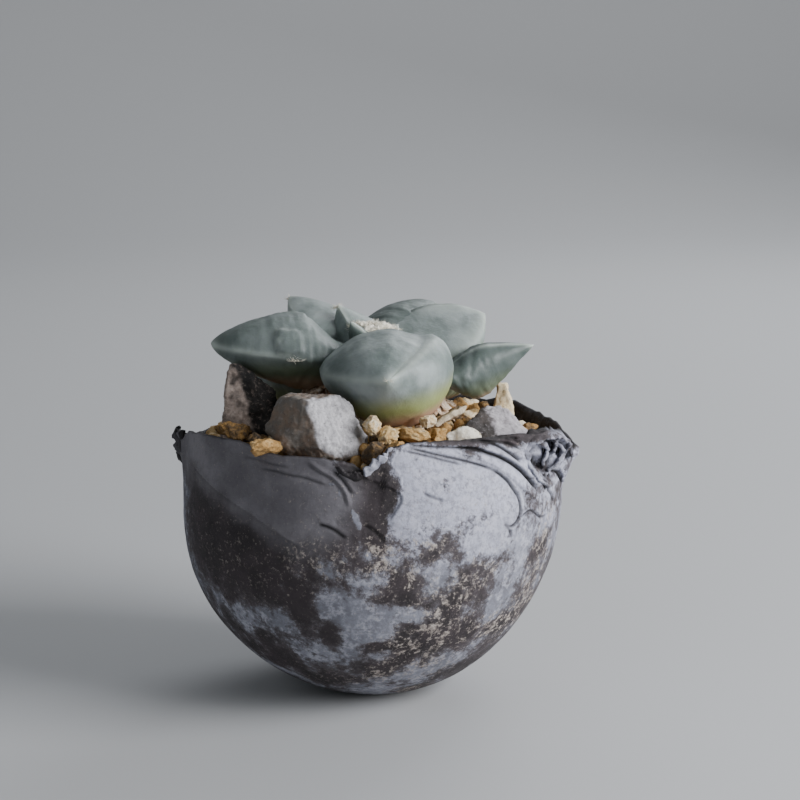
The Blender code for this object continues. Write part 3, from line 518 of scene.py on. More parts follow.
def polar_points(radius, azimuth, height):
    """Points at some radii, azimuths and heights."""
    angle = np.radians(azimuth)
    return np.stack([radius * np.cos(angle), radius * np.sin(angle), height + 0.0 * angle], axis=-1)


def egg_radius(height, radius, lower_half):
    """Radius at a height of an egg-shaped body, rounder below its widest place than above."""
    half = np.where(height > POT_EQUATOR, POT_UPPER_HALF, lower_half)
    return radius * np.sqrt(np.maximum(1.0 - ((height - POT_EQUATOR) / half) ** 2, 0.0))


def hand_wobble(azimuth, height):
    """How far the hand-shaped wall strays from a true round, fading out at the foot."""
    angle = np.radians(azimuth)
    whole = np.sin(np.pi * np.clip(height / RIM_LEVEL, 0.0, 1.0))
    below = np.sin(np.pi * np.clip(height / POT_EQUATOR, 0.0, 1.0))
    ripple = 0.3 * np.sin(2.0 * angle + 0.7) + 0.2 * np.sin(3.0 * angle)
    return whole * ripple - 0.8 * below * np.cos(angle)


def rim_height(azimuth):
    """Height of the torn rim, with its ragged edge."""
    tear = lumps(polar_points(POT_RADIUS, azimuth, 0.0), 5.0, 4)
    return around(RIM_HEIGHTS, azimuth) + around(RIM_TEAR, azimuth) * tear


def ring_height(climb, floor, rim):
    """Height of a ring of the pot: level low down, and following the torn rim near the top."""
    level = floor + climb * (RIM_LEVEL - floor)
    return level + (rim - RIM_LEVEL) * ease(climb, LEVEL_CLIMB, 1.0)


def outer_radius(azimuth, height):
    """Radius of the pot's outside, before its folds and hollows."""
    rim = around(RIM_HEIGHTS, azimuth)
    lean = around(RIM_LEAN, azimuth) * ease(height, rim - LIP_HEIGHT, rim)
    return egg_radius(height, POT_RADIUS, POT_LOWER_HALF) + hand_wobble(azimuth, height) + lean


def inner_radius(azimuth, height):
    """Radius of the pot's inside."""
    low = egg_radius(height, POT_RADIUS - WALL, INNER_LOWER_HALF) + hand_wobble(azimuth, height)
    thinning = ease(height, POT_EQUATOR, around(RIM_HEIGHTS, azimuth))
    high = outer_radius(azimuth, height) - WALL + (WALL - RIM_WALL) * thinning
    return np.where(height < POT_EQUATOR, low, high)


def along_wall(azimuth):
    """Distance along the wall from the middle of the front, in millimetres."""
    return np.radians((np.asarray(azimuth, float) - 90.0) % 360.0 - 180.0) * POT_RADIUS


def between_points(before, start, end, after, t):
    """Point at part t of the way from start to end, on a curve rounded through all four points."""
    return 0.5 * (2.0 * start + (end - before) * t + (2.0 * before - 5.0 * start + 4.0 * end - after) * t * t
                  + (3.0 * start - before - 3.0 * end + after) * t ** 3)


def smooth_line(line, steps=5):
    """The same line on the wall, rounded through its points."""
    ends = [np.array(point, float) for point in (line[0],) + tuple(line) + (line[-1],)]
    parts = np.arange(steps) / steps
    rounded = [between_points(*four, t) for four in zip(ends, ends[1:], ends[2:], ends[3:]) for t in parts]
    return rounded + [ends[-1]]


def beside(line, azimuth, height):
    """How far each place on the wall is from a line, on which side, and how near its ends."""
    across = along_wall(azimuth)
    points = smooth_line(line)
    best = np.full(across.shape, 1.0e6)
    side = np.zeros(across.shape)
    run = np.zeros(across.shape)
    for i, (start, end) in enumerate(zip(points, points[1:])):
        x, dx = along_wall(start[0]), along_wall(end[0]) - along_wall(start[0])
        z, dz = start[1], end[1] - start[1]
        if abs(dx) > POT_RADIUS:
            continue
        t = np.clip(((across - x) * dx + (height - z) * dz) / max(dx * dx + dz * dz, 1e-9), 0.0, 1.0)
        gap = np.hypot(across - x - t * dx, height - z - t * dz)
        nearer = gap < best
        best = np.where(nearer, gap, best)
        side = np.where(nearer, np.sign(dx * (height - z) - dz * (across - x)), side)
        run = np.where(nearer, (i + t) / (len(points) - 1), run)
    ends = np.clip(np.minimum(run, 1.0 - run) / 0.12, 0.0, 1.0)
    return best, side, ends


def spotted(patches, azimuth, height):
    """Sum of soft oval patches on the wall."""
    total = np.zeros(azimuth.shape)
    for place, level, wide, tall, weight in patches:
        across = (along_wall(azimuth) - along_wall(place)) / wide
        up = (height - level) / tall
        total += weight * np.exp(-((across * across + up * up) / 1.15) ** 1.5)
    return total


def wall_relief(azimuth, height, depth):
    """Folds, torn sheets, ridges and hollows of the outside, and the shade painted in the grooves, in the
    hollows and under the sheets' edges.
    """
    relief = np.zeros(azimuth.shape)
    dark = np.zeros(azimuth.shape)
    for line, rise, reach in SHEETS:
        gap, side, ends = beside(line, azimuth, height)
        relief += np.where(side > 0, rise * np.exp(-gap / reach), 0.0) * ends
        # Painted shadow under the edge of the upper sheet.
        dark += np.where(side < 0, 0.3 * np.exp(-(gap / 1.0) ** 2), 0.0) * ends
    for line, width, rise in RIDGES:
        gap, _, ends = beside(line, azimuth, height)
        relief += rise * np.exp(-(gap / width) ** 2) * ends
    for line, width, deep, lip, shade in GROOVES:
        gap, side, ends = beside(line, azimuth, height)
        relief -= deep * np.exp(-(gap / width) ** 2) * ends
        relief += lip * np.exp(-((gap - 2.2 * width) / (1.6 * width)) ** 2) * ends * (side > 0)
        # Painted shade in the groove.
        dark += 1.25 * shade * np.exp(-(gap / (1.1 * width)) ** 2) * ends
    for place, level, radius, deep in HOLLOWS:
        across = (along_wall(azimuth) - along_wall(place)) / radius
        gap = np.hypot(across, (height - level) / radius)
        relief -= deep * np.exp(-gap ** 2.5)
        # Painted shade in the hollow.
        dark += 1.1 * np.exp(-(gap / 0.95) ** 3)
    return relief * depth, np.clip(dark, 0.0, 1.0)


def crumpled(azimuth, height):
    """Where the clay is crumpled: at the knot on the right, at the curl on the left, at the tear."""
    knot = np.hypot((along_wall(azimuth) - along_wall(334.0)) / 9.0, (height - 60.5) / 7.0)
    curl = np.hypot((along_wall(azimuth) - along_wall(180.0)) / 5.0, (height - 60.5) / 4.5)
    tear = np.hypot((along_wall(azimuth) - along_wall(268.0)) / 5.0, (height - 62.5) / 4.0)
    back = ease(height, 54.0, 60.0) * ease(np.abs((azimuth + 160.0) % 360.0 - 180.0), 60.0, 20.0)
    total = 0.6 * np.exp(-knot ** 2) + 0.8 * np.exp(-curl ** 2) + 0.5 * np.exp(-tear ** 2) + 0.4 * back
    return np.clip(total, 0.0, 1.0)


def note_finish(obj, extra=0.0):
    """Keep the slip, with its painted sheen along the left edge, the grit, the burnish and the light sheet of
    a piece of the wall at its points.
    """
    places = points_of(obj)
    azimuth = np.degrees(np.arctan2(places[:, 1], places[:, 0])) % 360.0
    height = places[:, 2]
    gap, side, _ = beside(TORN_EDGE, azimuth, height)
    gap = side * gap + 1.3 * lumps(places, 3.0, 5, 2.0)
    torn = np.sign(gap) * (1.0 - np.exp(-np.abs(gap) / 1.2)) * np.exp(-(gap / 4.5) ** 2)
    gap, side, _ = beside(BURNISHED, azimuth, height)
    ragged = gap * side + 3.0 * lumps(places, 9.0, 5, 6.0)
    smooth = ease(ragged, -5.5, 3.0) * ease(azimuth, 150.0, 178.0) * ease(azimuth, 272.0, 260.0)
    # sooty marks the bare upper left; it starts at 192 degrees so that slip stays on the left edge as painted
    # sheen.
    sooty = ease(azimuth, 192.0, 214.0) * ease(azimuth, 262.0, 225.0) * ease(height, 28.0, 40.0)
    note(obj, "slip", spotted(SLIP, azimuth, height) - 1.5 * torn - 1.8 * smooth - 0.9 * sooty + extra)
    note(obj, "dust", np.clip(spotted(DUST, azimuth, height), 0.0, 1.2))
    note(obj, "smooth", smooth)
    high = ease(height + 6.0 * lumps(places, 18.0, 2, 1.0), 32.0, 52.0)
    note(obj, "sheet", high * ease(azimuth, 262.0, 280.0))


def feed(node, inputs):
    """Give a node's inputs their values, or the outputs of other nodes."""
    for key, value in inputs.items():
        if isinstance(value, bpy.types.NodeSocket):
            node.id_data.links.new(value, node.inputs[key])
        else:
            node.inputs[key].default_value = value


def add_node(tree, kind, inputs, output=0, **settings):
    """Add a shader node with its settings and inputs, and hand on one of its outputs."""
    added = tree.nodes.new("ShaderNode" + kind)
    for key, value in settings.items():
        setattr(added, key, value)
    feed(added, inputs)
    return added.outputs[output]


def per_mm(size):
    """Scale of a pattern whose features are some millimetres apart, on coordinates in metres."""
    return 1000.0 / size


def new_material(name):
    """A new material, the function that adds its nodes, its shader and its object coordinates."""
    material = bpy.data.materials.new(name)
    material.use_nodes = True
    node = functools.partial(add_node, material.node_tree)
    return material, node, material.node_tree.nodes["Principled BSDF"], node("TexCoord", {}, "Object")


def wear(obj, material):
    """Give an object one material alone."""
    obj.data.materials.clear()
    obj.data.materials.append(material)


def coated(node, colour, *coats):
    """A colour under coats of others, each laid on by its share."""
    for share, coat in coats:
        colour = node("Mix", {0: share, 6: colour, 7: coat}, 2, data_type="RGBA")
    return colour


def slipped_clay(settings):
    """Matte fired clay, dark brown-black, with a worn wash of grey slip: dry to the eye, patchy, and
    dusted with beige grit where the slip has crumbled away."""
    material, node, shader, where = new_material("slip_over_dark_fired_clay")
    broad, fine, cloud, grit, clump, stain = [
        node("TexNoise", {"Vector": where, "Scale": per_mm(size), "Detail": detail, "Roughness": rough})
        for size, detail, rough in ((6.0, 12.0, 0.72), (1.3, 8.0, 0.75), (14.0, 5.0, 0.55),
                                    (settings.grit / MM, 5.0, 0.7), (2.6, 6.0, 0.7), (7.0, 8.0, 0.65))]
    slip, dust, smooth, sheet, dark = [
        node("Attribute", {}, "Fac", attribute_name=name)
        for name in ("slip", "dust", "smooth", "sheet", "dark")]
    level = node("Math", {0: slip, 1: 0.13, 2: broad}, operation="MULTIPLY_ADD")
    level = node("Math", {0: fine, 1: 0.30, 2: level}, operation="MULTIPLY_ADD")
    washed = node("MapRange", {0: level, 1: 0.61, 2: 0.75}, **SMOOTHLY)
    wash = coated(
        node, linear("#73757f"),
        (node("MapRange", {0: cloud, 1: 0.38, 2: 0.62}, **SMOOTHLY), linear("#92949f")),
        (sheet, settings.slip_colour),
        (node("MapRange", {0: clump, 1: 0.46, 2: 0.66, 4: 0.6}, **SMOOTHLY), linear("#c0c0cb")),
        (node("MapRange", {0: fine, 1: 0.56, 2: 0.38, 4: 0.5}, **SMOOTHLY), linear("#6c6a72")))
    burnish = coated(
        node, linear("#656267"),
        (node("MapRange", {0: cloud, 1: 0.35, 2: 0.65}, **SMOOTHLY), linear("#838085")),
        (node("MapRange", {0: fine, 1: 0.45, 2: 0.7, 4: 0.3}, **SMOOTHLY), linear("#4a474b")))
    body = coated(
        node, linear("#2c2729"),
        (node("MapRange", {0: stain, 1: 0.35, 2: 0.68}, **SMOOTHLY), settings.body_colour),
        (node("MapRange", {0: level, 1: 0.51, 2: 0.65, 4: 0.45}, **SMOOTHLY), linear("#6a6467")),
        (smooth, burnish))
    loose = node("MapRange", {0: clump, 1: 0.40, 2: 0.62, 4: 0.22}, **SMOOTHLY)
    loose = node("Math", {0: dust, 1: loose, 2: grit}, operation="MULTIPLY_ADD")
    dusty = node("MapRange", {0: loose, 1: 0.56, 2: 0.80}, **SMOOTHLY)
    chalk = coated(
        node, linear("#8d8079"),
        (node("MapRange", {0: fine, 1: 0.40, 2: 0.60}, **SMOOTHLY), linear("#cabfb5")))
    colour = coated(
        node, body, (washed, wash), (node("Math", {0: dusty, 1: 0.85}, operation="MULTIPLY"), chalk),
        # The dark note is painted shade in the grooves, the hollows, under the sheets' edges and under the
        # curled strips; it also darkens the torn rim and the inside.
        (dark, linear("#1a1718")))
    height = node("Math", {0: fine, 1: 0.55}, operation="MULTIPLY")
    height = node("Math", {0: washed, 1: 0.35, 2: height}, operation="MULTIPLY_ADD")
    height = node("Math", {0: dusty, 1: 0.35, 2: height}, operation="MULTIPLY_ADD")
    feed(shader, {"Base Color": colour, "Roughness": node("MapRange", {0: fine, 3: 0.6, 4: 0.85}),
                  "IOR": 1.5, "Specular IOR Level": 0.4,
                  "Normal": node("Bump", {"Height": height, "Distance": 0.35 * MM})})
    return material


def waxy_skin(settings):
    """Succulent skin under a waxy bloom: grey-green and satin, a little light passing through it, with
    painted highlight along the margins and painted shade on shadowed tubercles and undersides, yellow-green
    and then pinkish towards the base that never saw the sun."""
    material, node, shader, where = new_material("glaucous_succulent_skin")
    cloud, fleck = [
        node("TexNoise", {"Vector": where, "Scale": per_mm(size), "Detail": 4.0, "Roughness": rough})
        for size, rough in ((7.0, 0.5), (0.9, 0.6))]
    streak, shade, margin, pale, rose = [
        node("Attribute", {}, "Fac", attribute_name=name)
        for name in ("streak", "shade", "margin", "pale", "rose")]
    skin = coated(
        node, settings.skin_colour,
        (node("MapRange", {0: cloud, 1: 0.3, 2: 0.72}, **SMOOTHLY), settings.bloom_colour),
        (node("Math", {0: streak, 1: 0.5}, operation="MULTIPLY"), linear("#a3aeab")),
        (node("MapRange", {0: fleck, 1: 0.58, 2: 0.75, 4: 0.2}, **SMOOTHLY), linear("#b4beba")),
        # The shade note is painted shade; the margin note is painted highlight along the sharp margins, with
        # the pale tip and the swelling's pale outline.
        (shade, linear("#424e49")), (margin, linear("#b9c2ba")), (pale, linear("#949c66")),
        (rose, linear("#c29c84")))
    grain = node("Math", {0: fleck, 1: 0.5}, operation="MULTIPLY")
    grain = node("Math", {0: cloud, 1: 0.8, 2: grain}, operation="MULTIPLY_ADD")
    feed(shader, {"Base Color": skin, "Roughness": node("MapRange", {0: cloud, 3: 0.40, 4: 0.58}),
                  "IOR": 1.45, "Subsurface Weight": 0.15, "Subsurface Radius": (0.8, 1.0, 0.5),
                  "Subsurface Scale": 0.002,
                  "Normal": node("Bump", {"Height": grain, "Distance": 0.18 * MM})})
    return material


def dried_fibre():
    """Dried bases of shed tubercles: papery and fibrous, tan with pale torn edges."""
    material, node, shader, where = new_material("dried_tubercle_fibre")
    streak, patch = [
        node("TexNoise", {"Vector": where, "Scale": per_mm(size), "Detail": detail, "Roughness": rough})
        for size, detail, rough in ((1.0, 5.0, 0.7), (4.0, 3.0, 0.55))]
    colour = coated(
        node, linear("#8f6c50"),
        (node("MapRange", {0: patch, 1: 0.35, 2: 0.6}, **SMOOTHLY), linear("#d4bb9f")),
        (node("MapRange", {0: streak, 1: 0.45, 2: 0.66}, **SMOOTHLY), linear("#f3e8d8")))
    feed(shader, {"Base Color": colour, "Roughness": 0.85,
                  "Normal": node("Bump", {"Height": streak, "Distance": 0.3 * MM})})
    return material


def areole_wool():
    """Wool of the areoles: fine cream hairs, soft and dull."""
    material, node, shader, where = new_material("areole_wool_hair")
    patch = node("TexNoise", {"Vector": where, "Scale": per_mm(1.5), "Detail": 4.0, "Roughness": 0.55})
    colour = coated(node, linear("#ddd5bf"), (patch, linear("#f8f4e8")))
    feed(shader, {"Base Color": colour, "Roughness": 0.9, "Sheen Weight": 0.3})
    return material


def broken_stone(name, weathered, fresh, fleck, stain):
    """Broken limestone or slate: rough and dull, pale and crystalline where freshly split, darker and
    stained where it has weathered."""
    material, node, shader, where = new_material(name)
    mottle, crystal, pit = [
        node("TexNoise", {"Vector": where, "Scale": per_mm(size), "Detail": detail, "Roughness": rough})
        for size, detail, rough in ((4.5, 7.0, 0.62), (1.1, 6.0, 0.75), (0.8, 4.0, 0.6))]
    split = coated(
        node, linear(fresh),
        (node("MapRange", {0: crystal, 1: 0.36, 2: 0.62}, **SMOOTHLY), linear(fleck)))
    colour = coated(
        node, linear(weathered),
        (node("MapRange", {0: mottle, 1: 0.40, 2: 0.62}, **SMOOTHLY), linear(stain)),
        (node("MapRange", {0: crystal, 1: 0.52, 2: 0.68, 4: 0.5}, **SMOOTHLY), linear(fresh)),
        (node("Attribute", {}, "Fac", attribute_name="fresh"), split),
        (node("MapRange", {0: pit, 1: 0.60, 2: 0.70, 4: 0.5}, **SMOOTHLY), linear("#3a3634")))
    rough = node("Math", {0: crystal, 1: mottle}, operation="ADD")
    feed(shader, {"Base Color": colour, "Roughness": 0.88,
                  "Normal": node("Bump", {"Height": rough, "Distance": 0.4 * MM})})
    return material


def baked_gravel(settings):
    """Baked clay and pumice gravel: dull porous grains, from orange brown and gold to cream."""
    material, node, shader, where = new_material("baked_clay_and_pumice_gravel")
    cloud, pit, grain = [
        node("TexNoise", {"Vector": where, "Scale": per_mm(size), "Detail": detail, "Roughness": rough})
        for size, detail, rough in ((1.6, 8.0, 0.75), (0.8, 4.0, 0.55), (0.9, 7.0, 0.75))]
    tint = node("Math", {0: cloud, 1: 0.48}, operation="SUBTRACT")
    tint = node("Math", {0: tint, 1: 1.5, 2: node("Attribute", {}, "Fac", attribute_name="tint")},
                operation="MULTIPLY_ADD")
    ramp = node("ValToRGB", {"Fac": tint})
    stops = ramp.node.color_ramp.elements
    # The dark end also paints the shade on the stones furthest left.
    stops[0].color = linear("#3b332b")
    stops[1].color = linear("#f1e6cf")
    stops[1].position = 0.95
    for place, colour in ((0.2, linear("#715a3d")), (0.42, settings.gold_colour), (0.68, linear("#dcbc86"))):
        stop = stops.new(place)
        stop.color = colour
    pits = node("MapRange", {0: pit, 1: 0.6, 2: 0.7, 4: 0.6}, **SMOOTHLY)
    feed(shader, {"Base Color": coated(node, ramp, (pits, linear("#5f4329"))), "Roughness": 0.8,
                  "Normal": node("Bump", {"Height": grain, "Distance": 0.6 * MM})})
    return material


def potting_mix():
    """Potting mix: dark peat and grit, dull and crumbly."""
    material, node, shader, where = new_material("peat_and_grit_mix")
    crumb = node("TexNoise", {"Vector": where, "Scale": per_mm(1.6), "Detail": 6.0, "Roughness": 0.7})
    pale = node("MapRange", {0: crumb, 1: 0.4, 2: 0.7}, **SMOOTHLY)
    feed(shader, {"Base Color": coated(node, linear("#2c221b"), (pale, linear("#6b5238"))), "Roughness": 0.95,
                  "Normal": node("Bump", {"Height": crumb, "Distance": 0.5 * MM})})
    return material


def studio_paper(settings):
    """Seamless studio paper: pale, even and dull."""
    material, node, shader, where = new_material("seamless_studio_paper")
    tooth = node("TexNoise", {"Vector": where, "Scale": per_mm(0.6), "Detail": 3.0, "Roughness": 0.55})
    shaded = [c * 0.97 for c in settings.floor_colour]
    feed(shader, {"Base Color": coated(node, settings.floor_colour, (tooth, shaded)), "Roughness": 0.9})
    return material


class ARIOCARPUS_OT_pot(bpy.types.Operator):
    """Model the pot: a slab wrapped into an egg-shaped bowl, torn, folded and pinched at the rim"""
    bl_idname = "ariocarpus.pot"
    bl_label = "Clay Pot"
    bl_options = {"REGISTER", "UNDO"}

    def execute(self, context):
        settings = context.scene.ariocarpus_pot
        columns = np.concatenate([np.arange(start, end, step) for (start, step), (end, _)
                                  in zip(COLUMNS, COLUMNS[1:])])
        outside, inside = [np.concatenate([np.linspace(*first), np.linspace(*second)[1:]])
                           for first, second in (OUTER_RINGS, INNER_RINGS)]
        rim = rim_height(columns)
        rows = []
        darks = []
        for climb in outside:
            height = ring_height(climb, 0.0, rim)
            # dark holds the shade painted in the grooves, the hollows and under the sheets' edges.
            relief, dark = wall_relief(columns, height, settings.crease_depth)
            radius = outer_radius(columns, height)
            base = polar_points(radius, columns, height)
            crumple = lumps(base, 2.4, 4, 7.0) * 0.7 * crumpled(columns, height)
            swell = 0.22 * lumps(base, 16.0, 2, 3.0) + 0.07 * lumps(base, 4.0, 3, 5.0)
            fade = ease(height, 0.0, 6.0)
            rows.append(polar_points(radius + (relief + crumple + swell) * fade, columns, height))
            darks.append(dark)
        edge = rows[-1]
        shell = np.hypot(edge[:, 0], edge[:, 1])
        for share, rise in ((0.3, 0.34), (0.7, 0.3)):
            thin = RIM_WALL * (0.62 + 0.3 * lumps(edge, 2.5, 2, 9.0))
            rows.append(polar_points(shell - share * thin, columns, edge[:, 2] + rise))
            darks.append(np.full(columns.shape, 0.75))
        for climb in inside:
            height = ring_height(climb, INNER_FLOOR, rim)
            radius = inner_radius(columns, height)
            base = polar_points(radius, columns, height)
            rough = 0.5 * lumps(base, 5.0, 4, 2.0) * ease(climb, 0.45, 0.7)
            near_rim = ease(climb, 0.8, 0.975)
            level = np.interp(climb, outside, range(len(outside)))
            skin = rows[min(int(level), len(outside) - 1)]
            radius = np.minimum(radius + rough, np.hypot(skin[:, 0], skin[:, 1]) - 0.7)
            radius += near_rim * (shell - 1.25 - radius) * 0.8
            rows.append(polar_points(radius, columns, height))
            darks.append(np.full(columns.shape, 0.8))
        rows.append(polar_points(np.full(columns.shape, DRAIN_RADIUS), columns, DRAIN_TOP))
        rows.append(polar_points(np.full(columns.shape, DRAIN_RADIUS), columns, 0.0))
        darks += [np.full(columns.shape, 0.6)] * 2
        rows.append(rows[0])
        darks.append(darks[0])
        grid = np.array(rows)
        grid = np.concatenate([grid, grid[:, :1]], axis=1)
        dark = np.array(darks)
        dark = np.concatenate([dark, dark[:, :1]], axis=1)

        deselect_all()
        across, up = grid.shape[1] - 1, grid.shape[0] - 1
        bpy.ops.mesh.primitive_grid_add(x_subdivisions=across, y_subdivisions=up, size=2.0)
        pot = newly_added("clay_pot")
        flat = points_of(pot) * MM
        column = np.rint((flat[:, 0] + 1.0) * 0.5 * across).astype(int)
        row = np.rint((flat[:, 1] + 1.0) * 0.5 * up).astype(int)
        move_points(pot, grid[row, column])
        note(pot, "dark", dark[row, column])
        close_seams(pot)
        note_finish(pot)
        wear(pot, slipped_clay(settings))
        settle(pot, "clay", "pot")
        return {"FINISHED"}


class ARIOCARPUS_OT_strips(bpy.types.Operator):
    """Model the strips of clay torn loose at the rim: the knot, the curl and the flap at the notch"""
    bl_idname = "ariocarpus.strips"
    bl_label = "Torn Strips"
    bl_options = {"REGISTER", "UNDO"}

    def execute(self, context):
        clay = bpy.data.materials.get("slip_over_dark_fired_clay")
        clay = clay or slipped_clay(context.scene.ariocarpus_pot)
        strips = join_all([self.curl_strip(*strip) for strip in STRIPS], "torn_strips")
        wear(strips, clay)
        settle(strips, "clay", "pot")
        return {"FINISHED"}

    def curl_strip(self, line, width, lift, slip, dark):
        """A strip of clay torn loose along a line, thin and ragged at its raised left edge."""
        deselect_all()
        bpy.ops.mesh.primitive_grid_add(x_subdivisions=46, y_subdivisions=10, size=2.0)
        strip = newly_added("strip")
        flat = points_of(strip) * MM
        along = (flat[:, 0] + 1.0) * 0.5
        track = np.array(smooth_line(line, 8))
        stations = np.linspace(0.0, 1.0, len(track))
        azimuth = np.interp(along, stations, track[:, 0])
        height = np.interp(along, stations, track[:, 1])
        run = np.interp(along, stations, np.gradient(along_wall(track[:, 0])))
        climb = np.interp(along, stations, np.gradient(track[:, 1]))
        length = np.hypot(run, climb)
        taper = ease(along, 0.0, 0.2) * ease(along, 1.0, 0.8)
        places = polar_points(POT_RADIUS, azimuth, height)
        ragged = 1.0 + 0.8 * lumps(places, 1.1, 4, width)
        shift = flat[:, 1] * width * 0.5 * (0.3 + 0.7 * taper) * ragged
        azimuth += np.degrees(-climb / length * shift / POT_RADIUS)
        height += run / length * shift
        part = (flat[:, 1] + 1.0) * 0.5
        out = -0.5 + (lift + 0.5) * (0.25 + 0.75 * taper) * part ** 0.8
        out += 0.35 * lumps(places, 2.2, 3, lift) * part
        move_points(strip, polar_points(outer_radius(azimuth, height) + out, azimuth, height))
        # Painted shade, deepest along the edge that lies on the wall.
        note(strip, "dark", np.clip(dark + 0.9 * (1.0 - part) ** 2, 0.0, 1.0))
        modify(strip, "SOLIDIFY", thickness=0.0007, offset=-1.0)
        note_finish(strip, slip)
        return strip


def fullness(along, bluntness, tip_roundness):
    """Share of a tubercle's full section at a part of its length: widest before the middle."""
    before = 1.0 - 0.4 * np.clip((WIDEST_AT - along) / WIDEST_AT, 0.0, 1.0) ** 2
    past = np.clip((along - WIDEST_AT) / (1.0 - WIDEST_AT), 0.0, 1.0)
    after = 1.0 - past ** bluntness + tip_roundness * np.sqrt(1.0 - past) * past ** 3
    return np.minimum(before, after) * ease(along, -0.06, 0.06)


def section_shape(section):
    """A section as distances from its axis by angle, and the angles of its margins."""
    ring = [np.array(point, float) for point in section]
    count = len(ring)
    curve = []
    margins = []
    for i in range(count):
        four = [ring[(i + k) % count] for k in (-1, 0, 1, 2)]
        if np.allclose(four[1], four[2]):
            margins.append(math.atan2(four[1][1], four[1][0]))
            continue
        curve += [between_points(*four, t) for t in np.arange(8) / 8.0]
    curve = np.array(curve)
    angles = np.arctan2(curve[:, 1], curve[:, 0])
    order = np.argsort(angles)
    return angles[order], np.hypot(curve[:, 0], curve[:, 1])[order], margins


def model_tubercle(name, base, tip, section, bow, bluntness, shoulder, belly, wrinkle, blanch, painted_shade):
    """One thick triangular tubercle, pressed from a ball."""
    base = Vector(base)
    tip = Vector(tip)
    axis = (tip - base).normalized()
    side = UP.cross(axis).normalized()
    rise = axis.cross(side)
    angles, reaches, margins = section_shape(section)
    large = reaches.max() > 9.0
    deselect_all()
    bpy.ops.mesh.primitive_uv_sphere_add(segments=112 if large else 72, ring_count=88 if large else 56)
    tubercle = newly_added("tubercle_" + name)
    ball = points_of(tubercle) * MM
    ball /= np.maximum(np.linalg.norm(ball, axis=1, keepdims=True), 1e-9)
    along = np.arccos(np.clip(-ball[:, 2], -1.0, 1.0)) / math.pi
    along = along * 0.35 + 0.65 * (1.0 - np.cos(along * math.pi)) * 0.5
    turn = np.arctan2(ball[:, 1], ball[:, 0])
    roundness = ROUNDER_TIPS.get(name, TIP_ROUNDNESS)
    share = np.where(np.abs(ball[:, 2]) < 0.99999, fullness(along, bluntness, roundness), 0.0)
    reach = np.interp(turn, angles, reaches, period=math.tau)
    lateral = reach * np.cos(turn) * share
    height = reach * np.sin(turn) * share
    if shoulder > 0.0:
        height = np.where(height > 0.0, height * ease(along, shoulder * 0.3, shoulder), height)
    if belly > 0.0:
        height = np.where(height < 0.0, height * ease(along, belly * 0.32, belly), height)
    line = np.array(base)[None, :] + np.outer(along, np.array(tip - base))
    line += np.outer(bow * 4.0 * along * (1.0 - along), np.array(rise))
    out = np.outer(lateral, np.array(side)) + np.outer(height, np.array(rise))
    places = line + out
    out /= np.maximum(np.linalg.norm(out, axis=1, keepdims=True), 1e-6)
    length = (tip - base).length
    girth = reach * share
    folded = np.stack([along * length / 2.6, height / 9.0 + lateral / 14.0, 0.0 * along], axis=1)
    fold = np.abs(lumps(folded, 1.0, 3, reaches.max())) * ease(along, 0.85, 0.35)
    swell = 0.40 * lumps(places, 9.0, 2, reaches.max()) + 0.14 * lumps(places, 3.2, 3, length)
    change = (swell - 1.1 * wrinkle * fold) * np.clip(girth / 5.0, 0.0, 1.0)
    from_swelling = np.full(len(ball), 9.0)
    if name in SWELLINGS:
        share_along, angle, wide, tall = SWELLINGS[name]
        from_swelling = np.maximum(np.abs(along - share_along) * length / wide,
                                   np.abs(turn - angle) * girth / tall)
        from_swelling += 0.35 * lumps(places, 2.6, 3, 8.0)
    change += 0.9 * ease(from_swelling, 1.25, 0.75)
    places += out * change[:, None]
    move_points(tubercle, places)
    near = np.min([np.abs((turn - margin + math.pi) % math.tau - math.pi) for margin in margins], axis=0)
    bulk = max(reaches.max() / 9.0, 1.0)
    # Painted highlight along the sharp margins, and a paler tip.
    edge = 0.85 / bulk * np.exp(-(near * girth / (0.5 * bulk)) ** 2) * ease(along, 0.3, 0.75)
    edge += 0.5 * np.exp(-((1.0 - along) * length / 1.3) ** 2)
    # A swelling has its pale outline on the side of the tip alone.
    tipward = ease(along * length + 0.2 * height, 17.4, 19.0)
    edge += 0.3 * np.exp(-((from_swelling - 1.0) / 0.16) ** 2) * tipward
    note(tubercle, "margin", np.clip(edge, 0.0, 0.85))
    streaks = np.stack([along * length / 1.3, turn * 0.8, 0.0 * along], axis=1)
    note(tubercle, "streak", ease(lumps(streaks, 1.0, 3, bow), 0.0, 0.6) * min(1.0, wrinkle + 0.1))
    keel = -min(point[1] for point in section)
    low = (0.20 * blanch * lateral - height) / keel + 0.1 * (0.35 - along)
    note(tubercle, "pale", ease(low, 0.20, 0.60) * blanch)
    note(tubercle, "rose", ease(low, 0.58, 0.84) * min(1.0, blanch + 0.3))
    # Painted shade: all over a tubercle in shadow, and on the underside of one that is not blanched; wrinkled
    # ones are also darker near the tip.
    dusk = 0.5 * painted_shade + 0.5 * ease(low, 0.1, 0.6) * (1.0 - blanch) + 0.5 * wrinkle * ease(along, 0.86, 0.98)
    note(tubercle, "shade", np.clip(dusk, 0.0, 0.9))
    return tubercle


class ARIOCARPUS_OT_rosette(bpy.types.Operator):
    """Model the rosette: twelve thick tubercles round the crown"""
    bl_idname = "ariocarpus.rosette"
    bl_label = "Rosette"
    bl_options = {"REGISTER", "UNDO"}

    def execute(self, context):
        skin = waxy_skin(context.scene.ariocarpus_plant)
        for name, sizes in TUBERCLES.items():
            tubercle = model_tubercle(name, *sizes)
            close_seams(tubercle)
            wear(tubercle, skin)
            settle(tubercle, "rosette", "plant")
        return {"FINISHED"}


